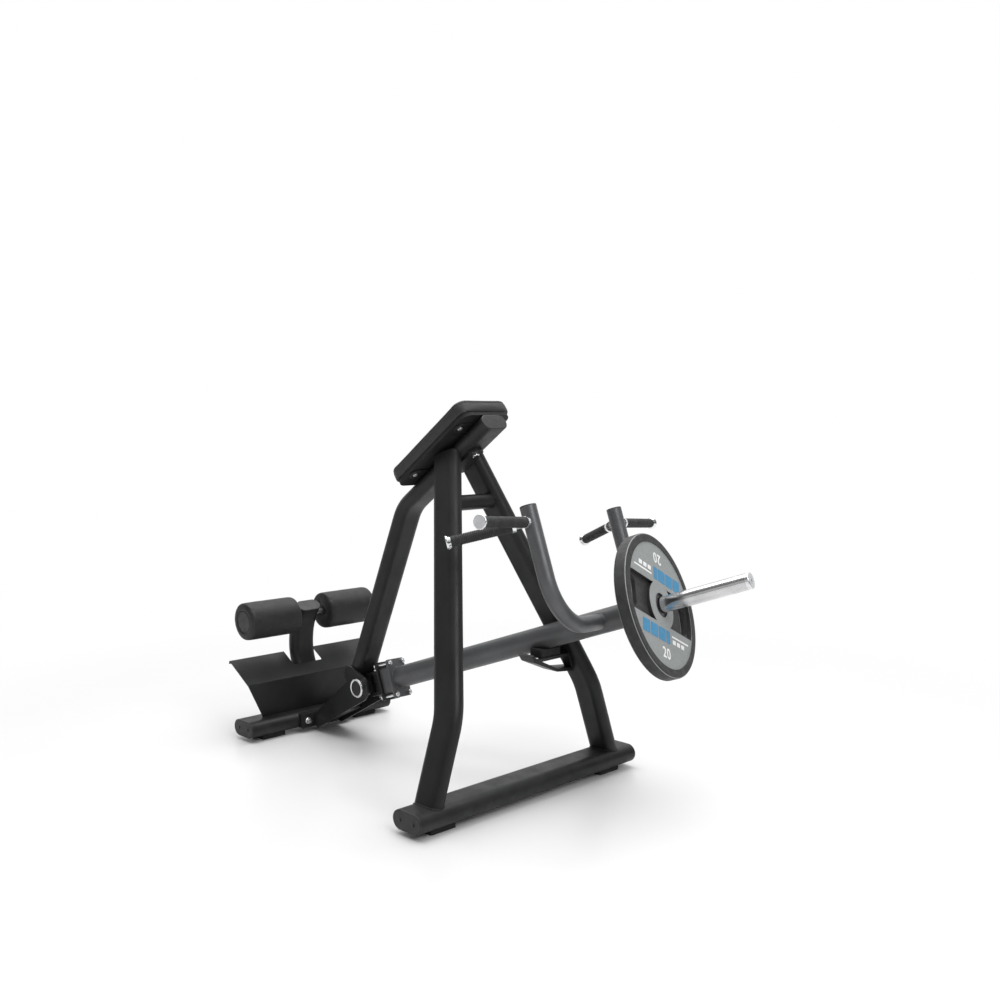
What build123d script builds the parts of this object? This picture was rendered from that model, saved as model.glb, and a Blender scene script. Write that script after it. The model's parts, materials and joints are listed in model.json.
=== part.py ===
"""Plate-loaded incline lever row, built as separate pieces, in millimetres.

The machine frame has +X from the foot plate towards the weight plate, +Y to the far side
(the side with the parking rest) and +Z up, with the rear base tube over X = 0 and the floor
at Z = 0.  Each finished piece is shifted by ROW_ORIGIN, so that the assembled object stands
on the centre of its own bounding box.  The lever is drawn along its own axis, with the yaw
pin at zero, and is then laid in its parked position.
"""
from build123d import *
from math import cos, sin, tan, radians
import os

# ---------------------------------------------------------------- driving dimensions
ROW_ORIGIN = (777.7, 147.7, 0)     # machine-frame point that becomes the row's origin

BASE_WIDTH = 120                   # flat-oval base tube, along X
BASE_HEIGHT = 60
BASE_WALL = 3
BASE_AXIS_Z = 45
FRONT_BASE_X = 1100
FRONT_BASE_LENGTH = 960
REAR_BASE_LENGTH = 640
CAP_THICKNESS = 5
CAP_SCREW_OFFSET = 29              # either side of the cap's middle
FOOT_THICKNESS = BASE_AXIS_Z - BASE_HEIGHT / 2

TUBE_WIDTH = 100                   # flat-oval tube of legs, spine and roller post
TUBE_DEPTH = 50
TUBE_WALL = 3

LEG_TOP_Y = 55                     # leg centre line at LEG_TOP_Z
LEG_TOP_Z = 1022
LEG_SPLAY = 19.4                   # degrees from vertical
LEG_FOOT_X = 1095
LEG_BEND = (1086, 312)             # X and Z of the bend
LEG_TOP_X = 808
LEG_BEND_RADIUS = 230

BRACE_X = 868
BRACE_Z = 902
BRACE_RADIUS = 24

SPINE_FOOT = (262, 186)            # X and Z of the lower end, the bend and the upper end
SPINE_BEND = (560, 867)
SPINE_END = (956, 1148)
SPINE_BEND_RADIUS = 140

PIVOT_X = 343                      # lift axis, along Y
PIVOT_Z = 216
PLATE_INNER_Y = 50                 # inner faces of the two side plates
PLATE_THICKNESS = 8
SHAFT_RADIUS = 15
BUSH_RADIUS = 19
RUNNING_GAP = 0.05

YAW_PIN_REACH = 57                 # from the lift axis to the yaw pin
LEVER_PITCH = 20.5                 # parked lever, degrees above horizontal
LEVER_SWING = 14.1                 # parked lever, degrees towards +Y
LEVER_RADIUS = 38
STOP_X = 1059                      # lever frame: inner face of the plate stop
STOP_THICKNESS = 8
SLEEVE_RADIUS = 25
SLEEVE_END = 1392
DISC_RADIUS = 225                  # 450 mm weight plate
DISC_THICKNESS = 42

YOKE_X = 905                       # lever frame: both handle arms
YOKE_Y = 287
YOKE_TOP = 364
YOKE_RADIUS = 25
YOKE_BEND_RADIUS = 150
GRIP_Z = 317
GRIP_RADIUS = 16
BAR_RADIUS = 11
COLLAR_LENGTH = 11
GRIP_TIP = 14                      # length of the flared metal tip
OUTER_GRIP_END = 283               # from the arm's axis to the tip's face
ANGLED_GRIP_END = 256
ANGLED_GRIP_TURN = 35.7            # degrees outward from straight back

ROLLER_X = -41
ROLLER_Z = 427.5
ROLLER_INNER_Y = 65
ROLLER_OUTER_Y = 279
ROLLER_RADIUS = 70
ROLLER_RECESS = 42
ROLLER_CORE_RADIUS = 15
AXLE_RADIUS = 10

PAD_LENGTH = 405
PAD_WIDTH = 215
PAD_FOAM = 46
PAD_BOARD = 11
PAD_BRACKET = 5
PAD_CENTRE = 42                    # along the spine's upper run, from its middle
PAD_BRACKET_PLACES = (-81, 174)

HALF_PLATE = 300                   # half width of the foot plate


# ---------------------------------------------------------------- frames and helpers
pivot_frame = Plane(
    origin=(PIVOT_X, 0, PIVOT_Z),
    x_dir=(cos(radians(LEVER_PITCH)), 0, sin(radians(LEVER_PITCH))),
    z_dir=(-sin(radians(LEVER_PITCH)), 0, cos(radians(LEVER_PITCH))),
)
lever_frame = Plane(
    origin=pivot_frame.from_local_coords((YAW_PIN_REACH, 0, 0)),
    x_dir=pivot_frame.x_dir.rotate(Axis((0, 0, 0), pivot_frame.z_dir), LEVER_SWING),
    z_dir=pivot_frame.z_dir,
)
upper_run = Vector(SPINE_END[0] - SPINE_BEND[0], 0, SPINE_END[1] - SPINE_BEND[1]).normalized()
pad_frame = Plane(
    origin=((SPINE_BEND[0] + SPINE_END[0]) / 2, 0, (SPINE_BEND[1] + SPINE_END[1]) / 2),
    x_dir=upper_run,
    z_dir=upper_run.cross(Vector(0, 1, 0)),
)

os.makedirs("parts", exist_ok=True)


def save(piece, name, frame=None):
    """Label one finished piece, lay it in the row's frame and write its STEP file."""
    placed = frame.from_local_coords(piece) if frame else piece
    placed = placed.moved(Location((-ROW_ORIGIN[0], -ROW_ORIGIN[1], -ROW_ORIGIN[2])))
    placed.label = name
    export_step(placed, f"parts/{name}.step")


def flat_oval(width, height, wall=0):
    """A flat-oval section, hollow when a wall is given."""
    SlotOverall(width, height)
    if wall:
        SlotOverall(width - 2 * wall, height - 2 * wall, mode=Mode.SUBTRACT)


def bent_tube(plane, points, radius, x_dir, wall=TUBE_WALL):
    """A flat-oval tube along filleted straight runs drawn on a plane."""
    with BuildPart() as tube:
        with BuildLine(plane) as route:
            FilletPolyline(*points, radius=radius)
        with BuildSketch(Plane(origin=route.line @ 0, x_dir=x_dir, z_dir=route.line % 0)):
            flat_oval(TUBE_WIDTH, TUBE_DEPTH, wall)
        sweep(path=route.line)
    return tube.part


def both_sides(piece):
    """The piece and its mirror image across the machine's centre plane."""
    return [piece, piece.mirror(Plane.XZ)]


def bolt(plane, head_radius, head_height, shank_radius, length):
    """A dome-headed bolt: the head stands on the plane and the shank runs below it."""
    with BuildPart() as piece:
        with BuildSketch(plane):
            Circle(head_radius)
        extrude(amount=head_height)
        fillet(piece.faces().sort_by(Axis(plane.origin, plane.z_dir))[-1].edges(), 0.45 * head_height)
        with BuildSketch(plane):
            Circle(shank_radius)
        extrude(amount=-length)
    return piece.part


# ---------------------------------------------------------------- base tubes
def base_tube(x, length, wall):
    with BuildPart() as tube:
        with BuildSketch(Plane.XZ.offset(-length / 2 + CAP_THICKNESS)):
            with Locations((x, BASE_AXIS_Z)):
                flat_oval(BASE_WIDTH, BASE_HEIGHT, wall)
        extrude(amount=length - 2 * CAP_THICKNESS)
    return tube.part


def base_cap(x, length):
    """A closed end cap with a rounded rim and a plug, with two screw holes."""
    with BuildPart() as cap:
        with BuildSketch(Plane.XZ.offset(length / 2 - CAP_THICKNESS)):
            with Locations((x, BASE_AXIS_Z)):
                flat_oval(BASE_WIDTH, BASE_HEIGHT)
        extrude(amount=CAP_THICKNESS)
        fillet(cap.faces().sort_by(Axis.Y)[0].edges(), 3)
        with BuildSketch(Plane.XZ.offset(length / 2 - CAP_THICKNESS)):
            with Locations((x, BASE_AXIS_Z)):
                flat_oval(BASE_WIDTH - 2 * BASE_WALL, BASE_HEIGHT - 2 * BASE_WALL)
        extrude(amount=-14)
        with BuildSketch(Plane.XZ.offset(length / 2)):
            with Locations(*screw_places(x)):
                Circle(2.5)
        extrude(amount=-30, mode=Mode.SUBTRACT)
    return cap.part


def screw_places(x):
    return [(x + side * CAP_SCREW_OFFSET, BASE_AXIS_Z) for side in (-1, 1)]


def cap_screws(x, length):
    with BuildPart() as screws:
        for place in screw_places(x):
            face = Plane(origin=(place[0], -length / 2, place[1]), z_dir=(0, -1, 0))
            add(bolt(face, 5, 2.5, 2.5, 18))
    return screws.part


def rubber_feet(x, pad_inner, pad_outer):
    """Two rubber pads under one base tube, let into its rounded underside."""
    with BuildPart() as feet:
        with BuildSketch(Plane.XY):
            for side in (-1, 1):
                with Locations((x, side * (pad_inner + pad_outer) / 2)):
                    RectangleRounded(76, pad_outer - pad_inner, 8)
        extrude(amount=FOOT_THICKNESS)
        chamfer(feet.faces().sort_by(Axis.Z)[0].edges(), 2)
        add(base_tube(x, FRONT_BASE_LENGTH + 20, 0), mode=Mode.SUBTRACT)
    return feet.part


front_envelope = base_tube(FRONT_BASE_X, FRONT_BASE_LENGTH, 0)
rear_envelope = base_tube(0, REAR_BASE_LENGTH, 0)
save(base_tube(FRONT_BASE_X, FRONT_BASE_LENGTH, BASE_WALL), "front_base_tube")
save(base_tube(0, REAR_BASE_LENGTH, BASE_WALL), "rear_base_tube")
bases = ((FRONT_BASE_X, FRONT_BASE_LENGTH), (0, REAR_BASE_LENGTH))
all_caps = [cap for x, length in bases for cap in both_sides(base_cap(x, length))]
save(Compound(children=all_caps), "base_end_caps")
all_screws = [pair for x, length in bases for pair in both_sides(cap_screws(x, length))]
save(Compound(children=all_screws), "base_cap_screws")
all_feet = [rubber_feet(FRONT_BASE_X, 322, 421), rubber_feet(0, 162, 262)]
save(Compound(children=all_feet), "rubber_feet")


# ---------------------------------------------------------------- spine, legs and brace
spine_points = (SPINE_FOOT, SPINE_BEND, SPINE_END)
spine_solid = bent_tube(Plane.XZ, spine_points, SPINE_BEND_RADIUS, (0, 1, 0), wall=0)
spine_tube = bent_tube(Plane.XZ, spine_points, SPINE_BEND_RADIUS, (0, 1, 0))
save(spine_tube, "spine_tube")

with BuildPart() as spine_end_cap:
    end_face = Plane(origin=(SPINE_END[0], 0, SPINE_END[1]), x_dir=(0, 1, 0), z_dir=upper_run)
    with BuildSketch(end_face):
        flat_oval(TUBE_WIDTH, TUBE_DEPTH)
    extrude(amount=4)
    fillet(spine_end_cap.faces().sort_by(Axis(end_face.origin, upper_run))[-1].edges(), 2.5)
    with BuildSketch(end_face):
        flat_oval(TUBE_WIDTH - 2 * TUBE_WALL, TUBE_DEPTH - 2 * TUBE_WALL)
    extrude(amount=-14)
save(spine_end_cap.part, "spine_end_cap")

splay = radians(LEG_SPLAY)
leg_plane = Plane(
    origin=(0, -LEG_TOP_Y, LEG_TOP_Z), x_dir=(1, 0, 0), z_dir=(0, -cos(splay), sin(splay))
)


def on_leg(x, z):
    """A point at a given X and height, in the splayed plane of a leg."""
    return (x, (z - LEG_TOP_Z) / cos(splay))


leg_points = (on_leg(LEG_FOOT_X, 46), on_leg(*LEG_BEND), on_leg(LEG_TOP_X - 10, LEG_TOP_Z + 26))
leg_solid = bent_tube(leg_plane, leg_points, LEG_BEND_RADIUS, (1, 0, 0), wall=0)
with BuildPart() as leg_near:
    add(bent_tube(leg_plane, leg_points, LEG_BEND_RADIUS, (1, 0, 0)))
    add(spine_solid, mode=Mode.SUBTRACT)
    add(front_envelope, mode=Mode.SUBTRACT)
leg_near_part = leg_near.part.solids().sort_by(SortBy.VOLUME)[-1]
save(leg_near_part, "leg_near")
save(leg_near_part.mirror(Plane.XZ), "leg_far")

with BuildPart() as leg_brace:
    with BuildSketch(Plane.XZ.offset(-120)):
        with Locations((BRACE_X, BRACE_Z)):
            Circle(BRACE_RADIUS)
            Circle(BRACE_RADIUS - TUBE_WALL, mode=Mode.SUBTRACT)
    extrude(amount=240)
    add(leg_solid, mode=Mode.SUBTRACT)
    add(leg_solid.mirror(Plane.XZ), mode=Mode.SUBTRACT)
save(leg_brace.part.solids().sort_by(lambda s: abs(s.center().Y))[0], "leg_brace")

# plate between the leg tops, bolted up into the spine
HEAD_PLATE = (16, 120, 27, 10)     # start, bolt place, half width, thickness
with BuildPart() as head_plate:
    with BuildSketch(pad_frame.offset(-TUBE_DEPTH / 2)):
        with Locations(((HEAD_PLATE[0] + HEAD_PLATE[1]) / 2, 0)):
            Rectangle(HEAD_PLATE[1] - HEAD_PLATE[0], 2 * HEAD_PLATE[2])
        with Locations((HEAD_PLATE[1], 0)):
            Circle(HEAD_PLATE[2])
        with Locations((HEAD_PLATE[1], 0)):
            Circle(6.5, mode=Mode.SUBTRACT)
    extrude(amount=-HEAD_PLATE[3])
    add(leg_solid, mode=Mode.SUBTRACT)
    add(leg_solid.mirror(Plane.XZ), mode=Mode.SUBTRACT)
save(head_plate.part, "head_plate")

head_face = pad_frame.offset(-TUBE_DEPTH / 2 - HEAD_PLATE[3])
head_place = Plane(
    origin=head_face.from_local_coords((HEAD_PLATE[1], 0, 0)), z_dir=-pad_frame.z_dir
)
save(bolt(head_place, 11, 7, 6.5, HEAD_PLATE[3]), "head_bolt")


# ---------------------------------------------------------------- chest pad
with BuildPart() as pad_bracket:
    with BuildSketch(Plane.XY.offset(TUBE_DEPTH / 2)):
        SlotOverall(190, 46, rotation=90)
        with Locations((0, -75), (0, 75)):
            Circle(4.5, mode=Mode.SUBTRACT)
    extrude(amount=PAD_BRACKET)
pad_brackets = [pad_bracket.part.moved(Location((x, 0, 0))) for x in PAD_BRACKET_PLACES]
save(Compound(children=pad_brackets), "pad_brackets", pad_frame)

board_bottom = TUBE_DEPTH / 2 + PAD_BRACKET
with BuildPart() as pad_board:
    with BuildSketch(Plane.XY.offset(board_bottom)):
        with Locations((PAD_CENTRE, 0)):
            RectangleRounded(PAD_LENGTH - 12, PAD_WIDTH - 12, 34)
        with Locations(*[(x, y) for x in PAD_BRACKET_PLACES for y in (-75, 75)]):
            Circle(4.5, mode=Mode.SUBTRACT)
    extrude(amount=PAD_BOARD)
save(pad_board.part, "pad_board", pad_frame)

with BuildPart() as chest_pad:
    with BuildSketch(Plane.XY.offset(board_bottom + PAD_BOARD)):
        with Locations((PAD_CENTRE, 0)):
            RectangleRounded(PAD_LENGTH, PAD_WIDTH, 38)
    extrude(amount=PAD_FOAM)
    fillet(chest_pad.faces().sort_by(Axis.Z)[-1].edges(), 14)
save(chest_pad.part, "chest_pad", pad_frame)

with BuildPart() as pad_screws:
    for x in PAD_BRACKET_PLACES:
        for y in (-75, 75):
            under = Plane(origin=(x, y, TUBE_DEPTH / 2), z_dir=(0, 0, -1))
            add(bolt(under, 8, 4, 4.5, PAD_BRACKET + PAD_BOARD))
save(pad_screws.part, "pad_screws", pad_frame)


# ---------------------------------------------------------------- pivot bracket on the rear base
FLANGE_FACE_X = 70
FLANGE_BOLT_Y = 86


def side_plate():
    """Boomerang plate: from the rear base up to the lift axis and the foot of the spine."""
    with BuildPart() as plate:
        with BuildSketch(Plane.XZ.offset(PLATE_INNER_Y)) as outline:
            with BuildSketch(mode=Mode.PRIVATE) as arm:
                with Locations((PIVOT_X, PIVOT_Z)):
                    Circle(50)
                with Locations((FLANGE_FACE_X + 20, 46)):
                    Circle(26)
            with BuildSketch(mode=Mode.PRIVATE) as neck:
                with Locations((PIVOT_X, PIVOT_Z)):
                    Circle(50)
                with Locations((292, 255)):
                    Circle(30)
            make_hull(arm.sketch.edges())
            make_hull(neck.sketch.edges())
            with Locations((PIVOT_X, PIVOT_Z)):
                Circle(SHAFT_RADIUS, mode=Mode.SUBTRACT)
            with Locations((FLANGE_FACE_X - 50, 46)):
                Rectangle(100, 120, mode=Mode.SUBTRACT)
        extrude(amount=PLATE_THICKNESS)
    return plate.part


save(Compound(children=both_sides(side_plate())), "pivot_plates")

with BuildPart() as pivot_flange:
    with BuildSketch(Plane.YZ.offset(FLANGE_FACE_X)):
        with Locations((0, BASE_AXIS_Z)):
            RectangleRounded(230, 54, 8)
        with Locations((-FLANGE_BOLT_Y, BASE_AXIS_Z), (FLANGE_BOLT_Y, BASE_AXIS_Z)):
            Circle(6, mode=Mode.SUBTRACT)
    extrude(amount=-30)
    add(rear_envelope, mode=Mode.SUBTRACT)
save(pivot_flange.part, "pivot_flange")

with BuildPart() as flange_bolts:
    for y in (-FLANGE_BOLT_Y, FLANGE_BOLT_Y):
        place = Plane(origin=(FLANGE_FACE_X, y, BASE_AXIS_Z), z_dir=(1, 0, 0))
        add(bolt(place, 12, 3, 6, FLANGE_FACE_X - BASE_WIDTH / 2))
        with BuildSketch(place.offset(3)):
            RegularPolygon(10, 6)
        extrude(amount=8)
save(flange_bolts.part, "flange_bolts")

# web that ties the two side plates together below the lift axis
with BuildPart() as pivot_web:
    with BuildSketch(Plane.YZ.offset(FLANGE_FACE_X)):
        with Locations((0, BASE_AXIS_Z)):
            Rectangle(2 * PLATE_INNER_Y, 40)
    with BuildSketch(Plane.YZ.offset(FLANGE_FACE_X + 150)):
        with Locations((0, BASE_AXIS_Z + 76)):
            Rectangle(2 * PLATE_INNER_Y, 40)
    loft()
save(pivot_web.part, "pivot_web")

with BuildPart() as pivot_shaft:
    with BuildSketch(Plane.XZ.offset(-(PLATE_INNER_Y + PLATE_THICKNESS + 1))):
        with Locations((PIVOT_X, PIVOT_Z)):
            Circle(SHAFT_RADIUS)
    extrude(amount=2 * (PLATE_INNER_Y + PLATE_THICKNESS + 1))
save(pivot_shaft.part, "pivot_shaft")

ring_plane = Plane(
    origin=(PIVOT_X, -(PLATE_INNER_Y + PLATE_THICKNESS), PIVOT_Z), z_dir=(0, -1, 0)
)
with BuildPart() as pivot_ring:
    with BuildSketch(ring_plane):
        Circle(34)
        Circle(25, mode=Mode.SUBTRACT)
    extrude(amount=12)
    fillet(pivot_ring.faces().sort_by(Axis.Y)[0].edges(), 3)
save(Compound(children=both_sides(pivot_ring.part)), "pivot_rings")

with BuildPart() as pivot_ring_cap:
    with BuildSketch(ring_plane):
        Circle(25)
    extrude(amount=14)
    fillet(pivot_ring_cap.faces().sort_by(Axis.Y)[0].edges(), 4)
    with BuildSketch(ring_plane):
        Circle(SHAFT_RADIUS)
    extrude(amount=1, mode=Mode.SUBTRACT)
save(Compound(children=both_sides(pivot_ring_cap.part)), "pivot_ring_caps")


# ---------------------------------------------------------------- foot plate
PLATE_TOP = (-112, 279)            # X and Z of the upper edge, the fold and the lower edge
PLATE_FOLD = (11, 205)
PLATE_FOOT = (2, BASE_AXIS_Z + BASE_HEIGHT / 2)
SHEET = 4
NOTCH_HALF = 66
NOTCH_END_X = -42
LOWER_HALF = 236

with BuildPart() as foot_plate:
    with BuildLine(Plane.XZ) as fold_line:
        FilletPolyline((PLATE_TOP[0] - 3, PLATE_TOP[1] - 14), PLATE_TOP, PLATE_FOLD, PLATE_FOOT, radius=5)
    with BuildSketch(Plane.XZ.offset(HALF_PLATE)):
        with BuildLine():
            FilletPolyline(
                (PLATE_TOP[0] - 3, PLATE_TOP[1] - 14), PLATE_TOP, PLATE_FOLD, PLATE_FOOT, radius=5
            )
            offset(amount=SHEET, side=Side.RIGHT)
        make_face()
    extrude(amount=-2 * HALF_PLATE)
    with BuildSketch(Plane.XY.offset(400)):
        with Locations((NOTCH_END_X - 100, 0)):
            RectangleRounded(200, 2 * NOTCH_HALF, 10)
    extrude(amount=-320, mode=Mode.SUBTRACT)
    for side in (-1, 1):
        with BuildSketch(Plane.YZ.offset(-40)):
            with BuildLine():
                Polyline(
                    (side * (HALF_PLATE + 1), 0), (side * LOWER_HALF, 0),
                    (side * LOWER_HALF, PLATE_FOOT[1]), (side * (HALF_PLATE + 1), PLATE_FOLD[1] + 1),
                    close=True,
                )
            make_face()
        extrude(amount=100, mode=Mode.SUBTRACT)
    add(rear_envelope, mode=Mode.SUBTRACT)
save(foot_plate.part.solids().sort_by(SortBy.VOLUME)[-1], "foot_plate")

with BuildPart() as foot_gusset:
    with BuildSketch(Plane.XZ.offset(150)):
        with BuildLine():
            Polyline(
                (-26, PLATE_FOOT[1]), (-4, PLATE_FOOT[1]), (4, 196), (-78, 245), (-88, 240),
                close=True,
            )
        make_face()
    extrude(amount=6)
    add(foot_plate.part, mode=Mode.SUBTRACT)
    add(rear_envelope, mode=Mode.SUBTRACT)
save(Compound(children=both_sides(foot_gusset.part)), "foot_plate_gussets")


# ---------------------------------------------------------------- ankle rollers
POST_REAR = (-87, 302)             # X and Z of the post's rearmost point
POST_UPPER_RADIUS = 247
POST_UPPER_TURN = 38.6             # degrees of arc above the rearmost point
POST_LOWER_RADIUS = 183
POST_LOWER_TURN = 33.5
POST_END = (
    POST_REAR[0] + POST_UPPER_RADIUS * (1 - cos(radians(POST_UPPER_TURN))),
    POST_REAR[1] + POST_UPPER_RADIUS * sin(radians(POST_UPPER_TURN)),
)


def roller_post_shape(wall):
    with BuildPart() as post:
        with BuildLine(Plane.XZ) as route:
            CenterArc(
                (POST_REAR[0] + POST_UPPER_RADIUS, POST_REAR[1]),
                POST_UPPER_RADIUS, 180 - POST_UPPER_TURN, POST_UPPER_TURN,
            )
            arc = CenterArc(
                (POST_REAR[0] + POST_LOWER_RADIUS, POST_REAR[1]),
                POST_LOWER_RADIUS, 180, POST_LOWER_TURN,
            )
            Line(arc @ 1, arc @ 1 + (arc % 1) * 158)
        with BuildSketch(Plane(origin=route.line @ 0, x_dir=(0, 1, 0), z_dir=route.line % 0)):
            flat_oval(TUBE_WIDTH, TUBE_DEPTH, wall)
        sweep(path=route.line)
        with BuildSketch(Plane.XZ.offset(TUBE_WIDTH / 2 + 5)):
            with Locations((ROLLER_X, ROLLER_Z)):
                Circle(AXLE_RADIUS)
        extrude(amount=-TUBE_WIDTH - 10, mode=Mode.SUBTRACT)
        add(rear_envelope, mode=Mode.SUBTRACT)
        add(foot_plate.part, mode=Mode.SUBTRACT)
    return post.part.solids().sort_by(SortBy.VOLUME)[-1]


save(roller_post_shape(TUBE_WALL), "roller_post")

post_out = Vector(sin(radians(POST_UPPER_TURN)), 0, cos(radians(POST_UPPER_TURN)))
with BuildPart() as roller_post_cap:
    post_face = Plane(origin=(POST_END[0], 0, POST_END[1]), x_dir=(0, 1, 0), z_dir=post_out)
    with BuildSketch(post_face):
        flat_oval(TUBE_WIDTH, TUBE_DEPTH)
    extrude(amount=4)
    fillet(roller_post_cap.faces().sort_by(Axis(post_face.origin, post_out))[-1].edges(), 2.5)
save(roller_post_cap.part, "roller_post_cap")

with BuildPart() as roller_axle:
    with BuildSketch(Plane.XZ.offset(-(ROLLER_OUTER_Y - 8))):
        with Locations((ROLLER_X, ROLLER_Z)):
            Circle(AXLE_RADIUS)
    extrude(amount=2 * (ROLLER_OUTER_Y - 8))
save(roller_axle.part, "roller_axle")

roller_end = Plane(origin=(ROLLER_X, -(ROLLER_OUTER_Y - 8), ROLLER_Z), z_dir=(0, -1, 0))
with BuildPart() as axle_end_cap:
    with BuildSketch(roller_end):
        Circle(ROLLER_RECESS - 1.5)
    extrude(amount=7)
    fillet(axle_end_cap.faces().sort_by(Axis.Y)[0].edges(), 4)
save(Compound(children=both_sides(axle_end_cap.part)), "axle_end_caps")


def roller_ring(outer, inner, start, end):
    with BuildPart() as ring:
        with BuildSketch(Plane.XZ.offset(start)):
            with Locations((ROLLER_X, ROLLER_Z)):
                Circle(outer)
                Circle(inner, mode=Mode.SUBTRACT)
        extrude(amount=end - start)
    return ring.part


core = roller_ring(ROLLER_CORE_RADIUS, AXLE_RADIUS + RUNNING_GAP, ROLLER_INNER_Y, ROLLER_OUTER_Y - 8.5)
with BuildPart() as foam:
    add(roller_ring(ROLLER_RADIUS, ROLLER_CORE_RADIUS, ROLLER_INNER_Y + 1, ROLLER_OUTER_Y))
    with BuildSketch(Plane.XZ.offset(ROLLER_OUTER_Y - 9)):
        with Locations((ROLLER_X, ROLLER_Z)):
            Circle(ROLLER_RECESS)
    extrude(amount=12, mode=Mode.SUBTRACT)
    outer_edges = foam.edges().filter_by(GeomType.CIRCLE).filter_by(lambda e: e.radius > 60)
    fillet(outer_edges, 9)
save(core, "roller_core_near")
save(core.mirror(Plane.XZ), "roller_core_far")
save(foam.part, "roller_foam_near")
save(foam.part.mirror(Plane.XZ), "roller_foam_far")


# ---------------------------------------------------------------- lift hub and yaw pin
FORK_HALF_HEIGHT = 42
FORK_GAP = 30
FORK_RADIUS = 25
FORK_START = 14
FORK_SLOT_START = 33
YAW_PIN_RADIUS = 10
hub_half = PLATE_INNER_Y - 0.5
with BuildPart() as lift_hub:
    with BuildSketch(Plane.XZ.offset(-hub_half)):
        Circle(32)
    extrude(amount=2 * hub_half)
    with BuildSketch(Plane.XY.offset(-FORK_HALF_HEIGHT)):
        with Locations(((FORK_START + YAW_PIN_REACH) / 2, 0)):
            Rectangle(YAW_PIN_REACH - FORK_START, 2 * FORK_RADIUS)
        with Locations((YAW_PIN_REACH, 0)):
            Circle(FORK_RADIUS)
    extrude(amount=2 * FORK_HALF_HEIGHT)
    with BuildSketch(Plane.XY.offset(-FORK_GAP)):
        with Locations((FORK_SLOT_START + 50, 0)):
            Rectangle(100, 4 * FORK_RADIUS)
    extrude(amount=2 * FORK_GAP, mode=Mode.SUBTRACT)
    with BuildSketch(Plane.XZ.offset(-hub_half)):
        Circle(BUSH_RADIUS)
    extrude(amount=2 * hub_half, mode=Mode.SUBTRACT)
    with BuildSketch(Plane.XY.offset(-FORK_HALF_HEIGHT)):
        with Locations((YAW_PIN_REACH, 0)):
            Circle(YAW_PIN_RADIUS)
    extrude(amount=2 * FORK_HALF_HEIGHT, mode=Mode.SUBTRACT)
save(lift_hub.part, "lift_hub", pivot_frame)

with BuildPart() as hub_bush:
    with BuildSketch(Plane.XZ.offset(hub_half - 34)):
        Circle(BUSH_RADIUS)
        Circle(SHAFT_RADIUS + RUNNING_GAP, mode=Mode.SUBTRACT)
    extrude(amount=34)
save(Compound(children=both_sides(hub_bush.part)), "hub_bushings", pivot_frame)

with BuildPart() as yaw_pin:
    with BuildSketch(Plane.XY.offset(-FORK_HALF_HEIGHT - 14)):
        with Locations((YAW_PIN_REACH, 0)):
            Circle(YAW_PIN_RADIUS)
    extrude(amount=2 * FORK_HALF_HEIGHT + 14)
    with BuildSketch(Plane.XY.offset(FORK_HALF_HEIGHT)):
        with Locations((YAW_PIN_REACH, 0)):
            Circle(16)
    extrude(amount=8)
    fillet(yaw_pin.faces().sort_by(Axis.Z)[-1].edges(), 3)
save(yaw_pin.part, "yaw_pin", pivot_frame)

with BuildPart() as yaw_nut:
    with BuildSketch(Plane.XY.offset(-FORK_HALF_HEIGHT)):
        with Locations((YAW_PIN_REACH, 0)):
            RegularPolygon(17, 6)
            Circle(YAW_PIN_RADIUS, mode=Mode.SUBTRACT)
    extrude(amount=-10)
save(yaw_nut.part, "yaw_nut", pivot_frame)


# ---------------------------------------------------------------- lever root
KNUCKLE_RADIUS = 23
BLOCK_START = 35
BLOCK_END = 78
ROOT_FLANGE = 7
TIE_Y = 36
TIE_Z = 56
LEVER_START = BLOCK_END + ROOT_FLANGE

tie_places = [(y, z) for y in (-TIE_Y, TIE_Y) for z in (-TIE_Z, TIE_Z)]


def root_flange():
    """Sketch of the rounded flange plate with its four tie-bolt holes."""
    RectangleRounded(2 * TIE_Y + 24, 2 * TIE_Z + 24, 10)
    with Locations(*tie_places):
        Circle(5, mode=Mode.SUBTRACT)


with BuildPart() as lever_knuckle:
    with BuildSketch(Plane.XY.offset(-FORK_GAP + 0.3)):
        Circle(KNUCKLE_RADIUS)
        with Locations(((BLOCK_START - ROOT_FLANGE) / 2, 0)):
            Rectangle(BLOCK_START - ROOT_FLANGE, 2 * KNUCKLE_RADIUS)
    extrude(amount=2 * FORK_GAP - 0.6)
    with BuildSketch(Plane.YZ.offset(BLOCK_START - ROOT_FLANGE)):
        root_flange()
    extrude(amount=ROOT_FLANGE)
    with BuildSketch(Plane.XY.offset(-FORK_GAP)):
        Circle(14)
    extrude(amount=2 * FORK_GAP, mode=Mode.SUBTRACT)
save(lever_knuckle.part, "lever_knuckle", lever_frame)

with BuildPart() as knuckle_bushings:
    for start in (-FORK_GAP + 0.3, 2):
        with BuildSketch(Plane.XY.offset(start)):
            Circle(14)
            Circle(YAW_PIN_RADIUS + RUNNING_GAP, mode=Mode.SUBTRACT)
        extrude(amount=FORK_GAP - 2.3)
save(knuckle_bushings.part, "knuckle_bushings", lever_frame)

with BuildPart() as root_block:
    with BuildSketch(Plane.YZ.offset(BLOCK_START)):
        RectangleRounded(74, 90, 6)
    extrude(amount=BLOCK_END - BLOCK_START)
save(root_block.part, "root_block", lever_frame)

with BuildPart() as lever_flange:
    with BuildSketch(Plane.YZ.offset(BLOCK_END)):
        root_flange()
    extrude(amount=ROOT_FLANGE)
save(lever_flange.part, "lever_flange", lever_frame)

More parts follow.
